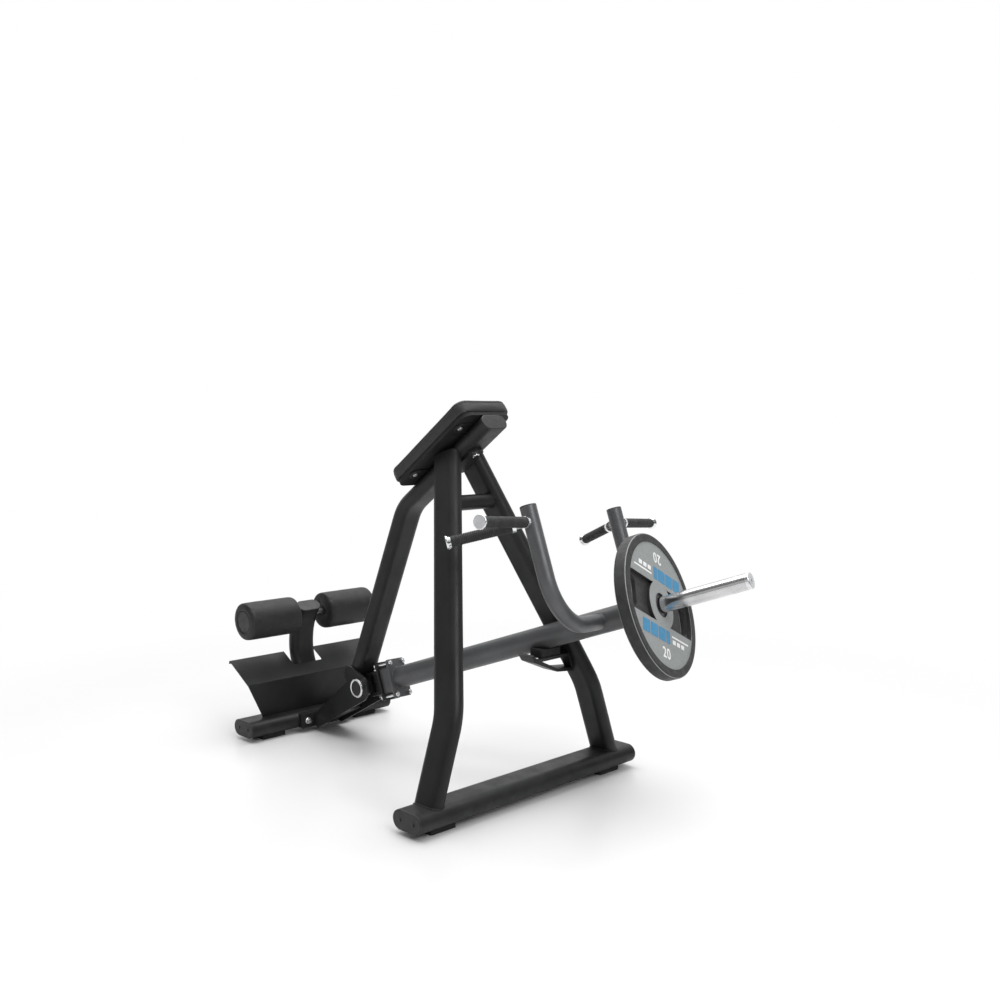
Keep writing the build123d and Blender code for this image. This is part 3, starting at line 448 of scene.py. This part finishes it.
def turned(origin, direction, profile, count=56, closed=False):
    """A profile of (distance, radius) pairs turned about an axis."""
    first, second = across_axes(direction)
    vertices, faces = [], []
    for distance, radius in profile:
        for k in range(count):
            angle = 2 * math.pi * k / count
            out = first * math.cos(angle) + second * math.sin(angle)
            vertices.append(origin + direction * distance + out * radius)
    rings = len(profile)
    for i in range(rings if closed else rings - 1):
        j = (i + 1) % rings
        for k in range(count):
            n = (k + 1) % count
            faces.append((i * count + k, i * count + n, j * count + n, j * count + k))
    return vertices, faces


def tube_along(points, radius_at, sides=8, outward=None):
    """A tube round a closed line of points; radius_at gives the radius at each length along it."""
    count = len(points)
    vertices, faces = [], []
    travelled = 0.0
    previous = None
    for i, point in enumerate(points):
        ahead = points[(i + 1) % count]
        tangent = (ahead - points[i - 1]).normalized()
        side = outward[i] if outward else (previous or across_axes(tangent)[0])
        side = (side - tangent * side.dot(tangent)).normalized()
        previous = side
        other = tangent.cross(side)
        radius = radius_at(travelled)
        for k in range(sides):
            angle = 2 * math.pi * k / sides
            vertices.append(point + (side * math.cos(angle) + other * math.sin(angle)) * radius)
        travelled += (ahead - point).length
    for i in range(count):
        j = (i + 1) % count
        for k in range(sides):
            n = (k + 1) % sides
            faces.append((i * sides + k, i * sides + n, j * sides + n, j * sides + k))
    return vertices, faces


def softened(line, passes):
    """A closed line with its kinks evened out."""
    for _ in range(passes):
        line = [(line[i - 1] + line[i] * 2 + line[(i + 1) % len(line)]) / 4 for i in range(len(line))]
    return line


def evenly(points, step):
    """A closed line through points, cut into even steps."""
    loop = points + [points[0]]
    total = sum((b - a).length for a, b in zip(loop, loop[1:]))
    count = max(12, round(total / step))
    spacing = total / count
    result, travelled, target = [], 0.0, 0.0
    for a, b in zip(loop, loop[1:]):
        run = (b - a).length
        while run > 0 and target <= travelled + run and len(result) < count:
            result.append(a.lerp(b, (target - travelled) / run))
            target += spacing
        travelled += run
    return result


# ------------------------------------------------------------------ weld beads
surface_trees = {}


def surface_tree(node):
    if node not in surface_trees:
        mesh = nodes[node].data
        surface_trees[node] = BVHTree.FromPolygons(
            [v.co.copy() for v in mesh.vertices], [tuple(p.vertices) for p in mesh.polygons]
        )
    return surface_trees[node]


TOUCHING = 0.6 * MM                              # points this near another piece lie on the seam
SECTOR = math.radians(4)                         # one rim point is kept for each such angle
RIM_SHARE = 0.86                                 # of the neighbours' radius, below which a point is inside
BEAD_STEP = 1.15 * MM
RIPPLE = 4.6 * MM
BEAD_LIFT = 0.4 * MM


def seam_loop(node, other, axis):
    """The outer rim where a tube meets another piece, in order round the tube's axis."""
    tree = surface_tree(other)
    kept = []
    for vertex in nodes[node].data.vertices:
        hit = tree.find_nearest(vertex.co, TOUCHING)
        if hit[0] is not None:
            kept.append(vertex.co.copy())
    first, second = across_axes(axis)
    flat = [(p.dot(first), p.dot(second)) for p in kept]
    centre = [(min(f[i] for f in flat) + max(f[i] for f in flat)) / 2 for i in (0, 1)]
    sectors = {}
    for point, (a, b) in zip(kept, flat):
        angle = math.atan2(b - centre[1], a - centre[0])
        radius = math.hypot(a - centre[0], b - centre[1])
        sector = round(angle / SECTOR)
        if sector not in sectors or radius > sectors[sector][1] + 1e-6:
            sectors[sector] = (angle, radius, point)
    ordered = sorted(sectors.values(), key=lambda item: item[0])
    smallest = min(item[1] for item in ordered)
    rim = []
    for i, (_, radius, point) in enumerate(ordered):
        neighbours = [ordered[(i + k) % len(ordered)][1] for k in (-2, -1, 1, 2)]
        if radius > RIM_SHARE * max(neighbours) or radius <= smallest:
            rim.append(point)
    return rim


def weld(name, node, other, axis, size, body="frame", slot="frame_coat", material=frame_coat):
    """A rippled weld bead, its radius given in mm, round the rim where a tube meets another piece."""
    rim = seam_loop(node, other, axis)
    line = softened(evenly(rim, BEAD_STEP), 2)
    centre = sum(line, Vector((0, 0, 0))) / len(line)
    outward = []
    for point in line:
        out = point - centre
        outward.append((out - axis * out.dot(axis)).normalized())
    seed = Vector((len(name) * 1.7, len(rim) * 0.31, 0.5))

    def bead(travelled):
        ripple = abs(math.sin(math.pi * travelled / RIPPLE))
        wander = noise.noise(seed + Vector((travelled * 60, 0, 0)))
        return (size * (0.84 + 0.20 * ripple + 0.10 * wander)) * MM

    line = [point + out * BEAD_LIFT for point, out in zip(line, outward)]
    vertices, faces = tube_along(line, bead, 8, outward)
    return piece(name, vertices, faces, material, body, slot)


# ------------------------------------------------------------------ soft pieces
def welded_copy(node, name):
    """A closed copy of a CAD node's mesh, its split vertices merged."""
    mesh = nodes[node].data.copy()
    mesh.materials.clear()
    clean = bmesh.new()
    clean.from_mesh(mesh)
    bmesh.ops.remove_doubles(clean, verts=clean.verts, dist=2e-5)
    bmesh.ops.recalc_face_normals(clean, faces=clean.faces)
    clean.to_mesh(mesh)
    clean.free()
    made = bpy.data.objects.new(name, mesh)
    bpy.context.scene.collection.objects.link(made)
    return made


def applied(made):
    """Put an object's modifiers into its mesh."""
    graph = bpy.context.evaluated_depsgraph_get()
    mesh = bpy.data.meshes.new_from_object(made.evaluated_get(graph))
    made.modifiers.clear()
    made.data = mesh


def coordinates(made):
    values = np.zeros(len(made.data.vertices) * 3)
    made.data.vertices.foreach_get("co", values)
    return values.reshape(-1, 3)


def put_coordinates(made, values):
    made.data.vertices.foreach_set("co", np.asarray(values, dtype=np.float32).ravel())
    made.data.update()


VOXEL = 4.6 * MM
CLOTH_FRAMES = 20


def puffed(node, name, axes, shrink, cap, pressure):
    """A padded piece: a CAD solid drawn in a little, remeshed, and blown up by cloth simulation."""
    made = welded_copy(node, name)
    centre = np.array(middle(node, axes))
    values = coordinates(made) - centre
    for axis in axes:
        direction = np.array(axis)
        low, high = extent(node, axis)
        scale = 1 - 2 * shrink / (high - low)
        values += np.outer(values @ direction, direction) * (scale - 1)
    put_coordinates(made, values + centre)
    remesh = made.modifiers.new("remesh", "REMESH")
    remesh.mode = "VOXEL"
    remesh.voxel_size = VOXEL
    remesh.adaptivity = 0.0
    applied(made)
    start = coordinates(made)
    cloth = made.modifiers.new("cloth", "CLOTH")
    settings = cloth.settings
    settings.quality = 6
    settings.mass = 0.3
    settings.tension_stiffness = 18
    settings.compression_stiffness = 18
    settings.shear_stiffness = 8
    settings.bending_stiffness = 1.2
    settings.use_pressure = True
    settings.uniform_pressure_force = pressure
    settings.effector_weights.gravity = 0.0
    cloth.collision_settings.use_collision = False
    scene = bpy.context.scene
    for number in range(1, CLOTH_FRAMES + 1):
        scene.frame_set(number)
    graph = bpy.context.evaluated_depsgraph_get()
    moved = np.array([v.co for v in made.evaluated_get(graph).data.vertices], float)
    made.modifiers.clear()
    scene.frame_set(1)
    step = moved - start
    length = np.linalg.norm(step, axis=1, keepdims=True)
    step *= np.minimum(1.0, cap / np.maximum(length, 1e-9))
    put_coordinates(made, start + step)
    smooth = made.modifiers.new("smooth", "SUBSURF")
    smooth.levels = 1
    smooth.render_levels = 1
    applied(made)
    made.data.polygons.foreach_set("use_smooth", [True] * len(made.data.polygons))
    return made


def place_soft(made, material, body, node):
    made.data.materials.clear()
    made.data.materials.append(material)
    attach(made, body)
    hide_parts(node)
    return made


# ------------------------------------------------------------------ chest pad
spine_rise = math.atan2(281.0, 396.0)            # rise and run of the spine's upper stretch, mm
PAD_LONG = Vector((math.cos(spine_rise), 0, math.sin(spine_rise)))
PAD_OUT = Vector((-math.sin(spine_rise), 0, math.cos(spine_rise)))
PAD_AXES = (PAD_LONG, SIDE, PAD_OUT)
PAD_CORNER = 38 * MM
pad_middle = middle("chest_pad", PAD_AXES)
pad_half = [0.5 * (extent("chest_pad", axis)[1] - extent("chest_pad", axis)[0]) for axis in PAD_AXES]


def pad_outline(long, side, inset=0.0):
    """Signed distance from the pad's rounded outline, and the direction out of it."""
    limit_long = pad_half[0] - inset - PAD_CORNER
    limit_side = pad_half[1] - inset - PAD_CORNER
    over_long = np.abs(long) - limit_long
    over_side = np.abs(side) - limit_side
    reach = np.hypot(np.maximum(over_long, 0), np.maximum(over_side, 0))
    distance = reach + np.minimum(np.maximum(over_long, over_side), 0) - PAD_CORNER
    in_corner = reach > 1e-9
    out_long = np.where(in_corner, np.maximum(over_long, 0), (over_long >= over_side) * 1.0)
    out_side = np.where(in_corner, np.maximum(over_side, 0), (over_long < over_side) * 1.0)
    out_long *= np.sign(long)
    out_side *= np.sign(side)
    size = np.maximum(np.hypot(out_long, out_side), 1e-9)
    return distance, out_long / size, out_side / size


SEAM_FROM_TOP = 13 * MM
SEAM_DEPTH = 2.4 * MM
SEAM_WIDTH = 2.3 * MM
BELLY = 0.8 * MM                                 # how far the side swells below the seam
PLEAT_DEPTH = 0.75 * MM                          # gathers at the corners, near the back
BACK_GAP = 0.2 * MM


def shape_pad(made):
    """Sew the seam round the pad's side, gather its corners and keep its back flat."""
    values = coordinates(made)
    local = np.stack([(values - np.array(pad_middle)) @ np.array(axis) for axis in PAD_AXES], axis=1)
    seam = pad_half[2] - SEAM_FROM_TOP
    distance, out_long, out_side = pad_outline(local[:, 0], local[:, 1])
    wall = np.clip((distance + 16 * MM) / (8 * MM), 0, 1)
    groove = np.exp(-(((local[:, 2] - seam) / SEAM_WIDTH) ** 2)) * wall * SEAM_DEPTH
    belly = np.cos(np.clip((local[:, 2] + 6 * MM) / (18 * MM), -1, 1) * math.pi / 2) * wall * BELLY
    angle = np.arctan2(out_side, out_long)
    in_corner = np.clip(1 - np.abs(np.abs(np.cos(angle) * np.sin(angle)) - 0.5) / 0.42, 0, 1)
    near_back = np.clip((-local[:, 2] - 2 * MM) / (20 * MM), 0, 1)
    pleats = np.sin(angle * 34.0) * in_corner * near_back * wall * PLEAT_DEPTH
    push = belly - groove + pleats
    local[:, 0] += out_long * push
    local[:, 1] += out_side * push
    local[:, 2] = np.maximum(local[:, 2], -pad_half[2] + BACK_GAP)
    placed = sum(np.outer(local[:, i], np.array(axis)) for i, axis in enumerate(PAD_AXES))
    put_coordinates(made, placed + np.array(pad_middle))


def pad_loop(inset, count):
    """Points and outward directions round the pad's rounded outline."""
    straight_long = pad_half[0] - inset - PAD_CORNER
    straight_side = pad_half[1] - inset - PAD_CORNER
    points = []
    for corner_long, corner_side, start in (
        (1, 1, 0.0), (-1, 1, 0.5 * math.pi), (-1, -1, math.pi), (1, -1, 1.5 * math.pi)
    ):
        for k in range(13):
            angle = start + k * math.pi / 24
            points.append(
                PAD_LONG * (corner_long * straight_long + PAD_CORNER * math.cos(angle))
                + SIDE * (corner_side * straight_side + PAD_CORNER * math.sin(angle))
            )
    length = sum((points[i] - points[i - 1]).length for i in range(len(points)))
    return evenly(points, length / count)


def capsule(start, end, radius, sides=6):
    """A short round-ended rod, such as one stitch."""
    direction = (end - start).normalized()
    length = (end - start).length
    tip = 0.35 * radius
    profile = [(-0.6 * radius, tip), (0, radius), (length, radius), (length + 0.6 * radius, tip)]
    vertices, faces = turned(start, direction, profile, sides)
    last = len(vertices) - sides
    faces.append(tuple(reversed(range(sides))))
    faces.append(tuple(last + k for k in range(sides)))
    return vertices, faces


upholstery = vinyl("upholstery", (0.011, 0.011, 0.012), (0.025, 0.025, 0.026), 0.42, 620.0, 0.42)
chest_pad = puffed("chest_pad", "chest_pad_cover", PAD_AXES, 1.0 * MM, 2.8 * MM, 0.9)
shape_pad(chest_pad)
place_soft(chest_pad, upholstery, "frame", "chest_pad")
pad_tree = BVHTree.FromPolygons(
    [v.co.copy() for v in chest_pad.data.vertices], [tuple(p.vertices) for p in chest_pad.data.polygons]
)


def on_pad(point, lift):
    """A point carried onto the cover's skin, a little proud of it."""
    hit, normal, _, _ = pad_tree.find_nearest(point)
    return hit + normal * lift if hit is not None else point


thread = moulded("thread", (0.050, 0.050, 0.052), (0.085, 0.085, 0.088), 0.62, 2400.0, 0.3)
STITCH_PITCH = 7.2 * MM
STITCH_FROM_SEAM = 4.6 * MM
STITCH_RADIUS = 0.42 * MM
STITCH_LIFT = 0.12 * MM
WELT_RADIUS = 1.5 * MM
WELT_LIFT = 0.5 * MM
stitch_parts = []
seam_height = pad_half[2] - SEAM_FROM_TOP
for offset in (STITCH_FROM_SEAM, -STITCH_FROM_SEAM):
    loop = pad_loop(0.0, 4 * round(2 * (pad_half[0] + pad_half[1]) * 2 / STITCH_PITCH / 2))
    lift = PAD_OUT * (seam_height + offset)
    for i in range(0, len(loop), 4):
        a = on_pad(pad_middle + loop[i] + lift, STITCH_LIFT)
        b = on_pad(pad_middle + loop[(i + 2) % len(loop)] + lift, STITCH_LIFT)
        stitch_parts.append(capsule(a, b, STITCH_RADIUS))
piece("pad_stitches", *joined(stitch_parts), thread, "frame", "upholstery")
welt_line = [on_pad(pad_middle + p + PAD_OUT * seam_height, WELT_LIFT) for p in pad_loop(2.4 * MM, 420)]
welt = tube_along(
    softened(welt_line, 3), lambda travelled: WELT_RADIUS * (1 + 0.05 * math.sin(travelled * 900)), 10
)
piece("pad_welt", *welt, upholstery, "frame", "upholstery")

# ------------------------------------------------------------------ ankle rollers
ROLLER_SEAM_ANGLE = 2.4                          # radians round the axle
ROLLER_SEAM_DEPTH = 1.3 * MM
ROLLER_SEAM_WIDTH = 1.9 * MM
END_BAND = 13 * MM                               # from each end to the pulled-in band
END_BAND_DEPTH = 0.9 * MM
END_BAND_WIDTH = 2.2 * MM
UNEVENNESS = 0.45 * MM
foam = foam_skin()
for side, sign in (("near", -1), ("far", 1)):
    node = f"roller_foam_{side}"
    place = joint_place(f"roller_{side}_spin")
    roller_axes = (EAST, SIDE, UP)
    roller = puffed(node, f"ankle_roller_{side}", roller_axes, 1.2 * MM, 2.2 * MM, 20.0)
    values = coordinates(roller)
    offsets = values - np.array(place)
    radius = np.hypot(offsets[:, 0], offsets[:, 2])
    angle = np.arctan2(offsets[:, 2], offsets[:, 0])
    outer = radius > 50 * MM
    low, high = extent(node, SIDE)
    seam_angle = ((angle - ROLLER_SEAM_ANGLE + math.pi) % (2 * math.pi)) - math.pi
    groove = np.exp(-((np.abs(seam_angle) * radius / ROLLER_SEAM_WIDTH) ** 2)) * ROLLER_SEAM_DEPTH
    end_distance = np.minimum(values[:, 1] - low, high - values[:, 1])
    band = np.exp(-(((end_distance - END_BAND) / END_BAND_WIDTH) ** 2)) * END_BAND_DEPTH
    places = zip(angle, values[:, 1])
    uneven = np.array([noise.noise(Vector((a * 1.1, v * 26, sign * 3.0))) for a, v in places])
    pull = np.where(outer, groove + band - UNEVENNESS * uneven, 0.0)
    scale = 1 - pull / np.maximum(radius, 1e-6)
    values[:, 0] = place.x + offsets[:, 0] * scale
    values[:, 2] = place.z + offsets[:, 2] * scale
    put_coordinates(roller, values)
    place_soft(roller, foam, f"roller_{side}", node)

# ------------------------------------------------------------------ handle grips
GRIP_OUTER = 16 * MM
GRIP_GROOVE = 15.0 * MM
GRIP_BORE = 11 * MM
GRIP_PITCH = 5.2 * MM
grip_rubber = moulded(
    "grip_rubber", (0.017, 0.017, 0.018), (0.030, 0.030, 0.031), 0.66, 900.0, 0.34, (0.055, 0.055, 0.055), 0.6
)


def grip_profile(start, end):
    """Ribbed sleeve: plain cuffs at both ends, grooves between them, and its bore."""
    cuff = 9 * MM
    profile = [(start, GRIP_BORE), (start, GRIP_OUTER - 0.9 * MM), (start + 0.9 * MM, GRIP_OUTER)]
    profile.append((start + cuff, GRIP_OUTER))
    count = int((end - start - 2 * cuff) / GRIP_PITCH)
    pitch = (end - start - 2 * cuff) / count
    for i in range(count):
        at = start + cuff + i * pitch
        profile += [
            (at + 0.10 * pitch, GRIP_GROOVE + 0.25 * MM),
            (at + 0.20 * pitch, GRIP_GROOVE),
            (at + 0.34 * pitch, GRIP_GROOVE),
            (at + 0.46 * pitch, GRIP_OUTER - 0.25 * MM),
            (at + 0.56 * pitch, GRIP_OUTER),
            (at + 1.00 * pitch, GRIP_OUTER),
        ]
    profile += [(end - 0.9 * MM, GRIP_OUTER), (end, GRIP_OUTER - 0.9 * MM), (end, GRIP_BORE)]
    return profile


angled_turn = math.radians(35.7)
pin_across = LEVER_PIN.dot(LEVER_Y)
for side, sign in (("near", -1), ("far", 1)):
    def on_side(points, sign=sign):
        return (points @ np.array(LEVER_Y) - pin_across) * sign > 0

    directions = {
        "outer": LEVER_Y * sign,
        "angled": -LEVER_X * math.cos(angled_turn) + LEVER_Y * (sign * math.sin(angled_turn)),
    }
    for kind, direction in directions.items():
        across = LEVER_Z.cross(direction).normalized()
        axes = (direction, across, LEVER_Z)
        grip_middle = middle(f"{kind}_grips", axes, on_side)
        low, high = extent(f"{kind}_grips", direction, on_side)
        half_length = (high - low) / 2
        made = piece(
            f"{kind}_grip_{side}",
            *turned(grip_middle, direction, grip_profile(-half_length, half_length), 56, True),
            grip_rubber, "lever", "grip_rubber",
        )
        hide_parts(f"{kind}_grips")

# ------------------------------------------------------------------ weight plate print
plate_middle = middle("weight_plate", LEVER_AXES)
plate_half = 0.5 * (extent("weight_plate", LEVER_X)[1] - extent("weight_plate", LEVER_X)[0])
FACE_RECESS = 3 * MM
face_depth = plate_half - FACE_RECESS
window_turn = math.radians(-21)
PRINT_ALONG = LEVER_Y * math.cos(window_turn) + LEVER_Z * math.sin(window_turn)
PRINT_UP = LEVER_X.cross(PRINT_ALONG).normalized()
plate_rubber = plate_skin(plate_middle, face_depth)
blue_ink = ink("blue_ink", (0.036, 0.200, 0.370), (0.056, 0.245, 0.425))
white_ink = ink("white_ink", (0.72, 0.73, 0.73), (0.86, 0.86, 0.86))
INK_THICKNESS = 0.45 * MM


def face_point(along, up, lift, face, turn):
    """A point on a face of the plate; turn is 1, or -1 for the half-turned print."""
    right = PRINT_ALONG * face
    return (
        plate_middle
        + right * (along * MM * turn)
        + PRINT_UP * (up * MM * turn)
        + LEVER_X * (face * (face_depth + lift))
    )


def printed_patch(outline, face, turn):
    """A thin raised patch of ink with the given outline."""
    count = len(outline)
    vertices = [face_point(a, b, 0.05 * MM, face, turn) for a, b in outline]
    vertices += [face_point(a, b, INK_THICKNESS, face, turn) for a, b in outline]
    faces = [tuple(range(count)), tuple(range(count, 2 * count))]
    faces += [(i, (i + 1) % count, count + (i + 1) % count, count + i) for i in range(count)]
    return vertices, faces


def rounded_bar(left, right, bottom, top, radius, slant=0.0):
    """Outline of a bar with rounded corners, leaning by slant."""
    outline = []
    for x, y, start in (
        (right - radius, top - radius, 0.0),
        (left + radius, top - radius, 0.5 * math.pi),
        (left + radius, bottom + radius, math.pi),
        (right - radius, bottom + radius, 1.5 * math.pi),
    ):
        for k in range(7):
            angle = start + k * math.pi / 12
            px, py = x + radius * math.cos(angle), y + radius * math.sin(angle)
            outline.append((px + slant * (py - bottom) / (top - bottom), py))
    return outline


def plate_print(name, parts, material):
    """One colour of the print, riding on the plate."""
    return piece(name, *joined(parts), material, "weight_plate", "plate_rubber", False)


# outlines of the print, in mm along and up from the plate's middle
BLUE_BARS = [rounded_bar(a, b, -118, -76, 4, 6) for a, b in ((-140, -96), (-91, -47), (-42, 2), (7, 30))]
WHITE_BARS = [rounded_bar(48, 156, -90, -84.5, 1.5, 1)]
WHITE_BARS += [rounded_bar(left, left + 20, -111, -97, 2, 3) for left in (48, 76, 104)]
NUMBER_HEIGHT = 34 * MM
NUMBER_PLACE = -154
sides_of_print = [(face, turn) for face in (1, -1) for turn in (1, -1)]
for name, bars, material in (
    ("plate_blue_bars", BLUE_BARS, blue_ink), ("plate_white_bars", WHITE_BARS, white_ink)
):
    parts = [printed_patch(bar, face, turn) for face, turn in sides_of_print for bar in bars]
    plate_print(name, parts, material)


def number_mesh(text, height, centre_up, face, turn):
    """Raised digits laid on a face of the plate."""
    curve = bpy.data.curves.new("digits", "FONT")
    curve.body = text
    curve.size = height * 1.37
    curve.extrude = 0.2 * MM
    curve.offset = 0.9 * MM
    curve.align_x = "CENTER"
    curve.align_y = "CENTER"
    curve.space_character = 1.12
    curve.resolution_u = 5
    holder = bpy.data.objects.new("digits", curve)
    bpy.context.scene.collection.objects.link(holder)
    graph = bpy.context.evaluated_depsgraph_get()
    mesh = bpy.data.meshes.new_from_object(holder.evaluated_get(graph))
    vertices = []
    for vertex in mesh.vertices:
        a, b, c = vertex.co
        vertices.append(face_point(a / MM, b / MM + centre_up, c + 0.3 * MM, face, turn))
    faces = [tuple(p.vertices) for p in mesh.polygons]
    bpy.data.objects.remove(holder)
    bpy.data.meshes.remove(mesh)
    bpy.data.curves.remove(curve)
    return vertices, faces


digits = [number_mesh("20", NUMBER_HEIGHT, NUMBER_PLACE, face, turn) for face, turn in sides_of_print]
plate_print("plate_digits", digits, white_ink)

# ------------------------------------------------------------------ carried-over CAD nodes
board = board_paint()
sleeve = sleeve_chrome()
finishes = {
    frame_coat: (
        "front_base_tube", "rear_base_tube", "leg_near", "leg_far", "leg_brace", "spine_tube", "head_plate",
        "pad_brackets", "pivot_plates", "pivot_flange", "pivot_web", "foot_plate", "foot_plate_gussets",
        "roller_post", "park_rest", "lift_hub", "lever_knuckle",
    ),
    lever_coat: ("root_block", "lever_flange", "lever_tube", "plate_stop", "yoke_arm_near", "yoke_arm_far"),
    black_plastic: ("base_end_caps", "pivot_ring_caps", "yoke_caps", "axle_end_caps", "spine_end_cap"),
    cap_plastic: ("roller_post_cap",),
    rubber: ("rubber_feet", "park_bumper"),
    black_steel: ("base_cap_screws",),
    screw_steel: ("pad_screws",),
    chrome: (
        "head_bolt", "flange_bolts", "pivot_rings", "park_screws", "yaw_pin", "yaw_nut", "tie_bolts",
        "sleeve_cap", "sleeve_screw", "grip_collars", "grip_tips",
    ),
    sleeve: ("plate_sleeve",),
    steel: ("pivot_shaft", "roller_axle", "handle_bars"),
    hub_steel_painted_shade: ("plate_hub_ring",),
    bronze: ("hub_bushings", "knuckle_bushings"),
    board: ("pad_board",),
    core_plastic: ("roller_core_near", "roller_core_far"),
    plate_rubber: ("weight_plate",),
}
for material, names in finishes.items():
    for name in names:
        dress(name, material)
dress("chest_pad", upholstery)
for kind in ("outer", "angled"):
    dress(f"{kind}_grips", grip_rubber)
for side in ("near", "far"):
    dress(f"roller_foam_{side}", foam)

# ------------------------------------------------------------------ welds
for side in ("near", "far"):
    weld(f"weld_leg_foot_{side}", f"leg_{side}", "front_base_tube", UP, 3.1)
for side in ("near", "far"):
    weld(f"weld_brace_{side}", "leg_brace", f"leg_{side}", SIDE, 2.6)
for name, node, other, axis in (
    ("weld_lever_flange", "lever_tube", "lever_flange", LEVER_X),
    ("weld_lever_stop", "lever_tube", "plate_stop", LEVER_X),
    ("weld_arm_near", "yoke_arm_near", "lever_tube", LEVER_Y),
    ("weld_arm_far", "yoke_arm_far", "lever_tube", LEVER_Y),
):
    weld(name, node, other, axis, 2.8, "lever", "lever_coat", lever_coat)
weld("weld_park_rest", "park_rest", "leg_far", SIDE, 2.4)

# ------------------------------------------------------------------ floor, light and camera
FLOOR_SIZE = 40.0
FLOOR_FADE = (0.95, 2.8)                         # metres from the middle, where it turns to white
bpy.ops.mesh.primitive_plane_add(size=FLOOR_SIZE, location=(0, 0, 0))
floor = bpy.context.object
floor.name = "floor"
paper = Paint("floor_paper", specular=0.25)
cloudy = paper.span(paper.noise(0.7, 3.0), 0.3, 0.7)
paper_colour = paper.blend(cloudy, (0.71, 0.71, 0.71), (0.74, 0.74, 0.74))
paper_rough = paper.span(paper.noise(3.0, 3.0), 0.3, 0.7, 0.30, 0.38)
floor.data.materials.append(paper.finish(paper_colour, paper_rough))
east, north = paper.along(EAST), paper.along(SIDE)
from_middle = paper.math(
    "SQRT", paper.math("ADD", paper.math("MULTIPLY", east, east), paper.math("MULTIPLY", north, north))
)
glow = paper.add("ShaderNodeEmission")
fade = paper.add("ShaderNodeMixShader")
paper.join(paper.span(from_middle, *FLOOR_FADE), fade.inputs[0])
paper.join(paper.shader.outputs["BSDF"], fade.inputs[1])
paper.join(glow.outputs[0], fade.inputs[2])
output = next(node for node in paper.tree.nodes if node.type == "OUTPUT_MATERIAL")
paper.join(fade.outputs[0], output.inputs["Surface"])
floor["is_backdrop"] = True

world = bpy.data.worlds.new("studio")
world.use_nodes = True
sky = world.node_tree
background = sky.nodes["Background"]
background.inputs["Color"].default_value = (1.0, 1.0, 1.0, 1.0)
sky_place = sky.nodes.new("ShaderNodeTexCoord")
BACKDROP = (-0.70, 0.69, 0.15)                   # a bright wall behind the machine


def sky_band(direction, start, end, low, high):
    """Light that grows smoothly towards one direction of the room."""
    facing = sky.nodes.new("ShaderNodeVectorMath")
    facing.operation = "DOT_PRODUCT"
    sky.links.new(sky_place.outputs["Generated"], facing.inputs[0])
    facing.inputs[1].default_value = direction
    band = sky.nodes.new("ShaderNodeMapRange")
    band.interpolation_type = "SMOOTHSTEP"
    sky.links.new(facing.outputs["Value"], band.inputs["Value"])
    band.inputs["From Min"].default_value = start
    band.inputs["From Max"].default_value = end
    band.inputs["To Min"].default_value = low
    band.inputs["To Max"].default_value = high
    return band.outputs["Result"]


room = sky.nodes.new("ShaderNodeMath")
sky.links.new(sky_band(BACKDROP, 0.05, 0.85, 0.04, 0.90), room.inputs[0])
sky.links.new(sky_band((0, 0, 1), 0.0, 0.8, 0.0, 0.25), room.inputs[1])
seen = sky.nodes.new("ShaderNodeLightPath")
choice = sky.nodes.new("ShaderNodeMix")
sky.links.new(seen.outputs["Is Camera Ray"], choice.inputs[0])
sky.links.new(room.outputs[0], choice.inputs[2])
choice.inputs[3].default_value = 1.0
sky.links.new(choice.outputs[0], background.inputs["Strength"])
bpy.context.scene.world = world
bpy.context.scene.view_settings.view_transform = "Standard"


def softbox(name, place, aim, size, watts):
    """A large soft lamp that looks at a point."""
    data = bpy.data.lights.new(name, "AREA")
    data.shape = "RECTANGLE"
    data.size, data.size_y = size
    data.energy = watts
    lamp = bpy.data.objects.new(name, data)
    bpy.context.scene.collection.objects.link(lamp)
    place, aim = Vector(place), Vector(aim)
    lamp.location = place
    lamp.rotation_mode = "QUATERNION"
    lamp.rotation_quaternion = (aim - place).to_track_quat("-Z", "Y")
    return lamp


softbox("key", (3.4, -0.6, 3.0), (0.1, -0.1, 0.5), (2.2, 2.2), 72)
softbox("top", (-0.3, 0.3, 4.4), (0.0, 0.0, 0.2), (5.0, 5.0), 236)
softbox("fill", (-0.6, -4.2, 1.6), (0.0, 0.0, 0.5), (2.4, 1.8), 7)

LENS = 38.79
LENS_SHIFT = (0.0161, 0.0976)
CAMERA_PLACE = (2.5213, -2.4766, 1.1746)
CAMERA_BACK = (0.70494, -0.68897, 0.16848)
CAMERA_RIGHT = (0.6984, 0.7157, 0.0043)
camera_data = bpy.data.cameras.new("camera")
camera_data.lens = LENS
camera_data.sensor_width = 36.0
camera_data.shift_x, camera_data.shift_y = LENS_SHIFT
camera = bpy.data.objects.new("camera", camera_data)
bpy.context.scene.collection.objects.link(camera)
back = Vector(CAMERA_BACK).normalized()
right = Vector(CAMERA_RIGHT)
right = (right - back * right.dot(back)).normalized()
camera_up = back.cross(right)
turn = Matrix((right, camera_up, back)).transposed()
camera.matrix_world = Matrix.Translation(CAMERA_PLACE) @ turn.to_4x4()
camera_data.clip_start, camera_data.clip_end = 0.05, 100.0
bpy.context.scene.camera = camera

# ------------------------------------------------------------------ size, from the bounds of the shown pieces
bpy.context.view_layer.update()
low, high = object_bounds()
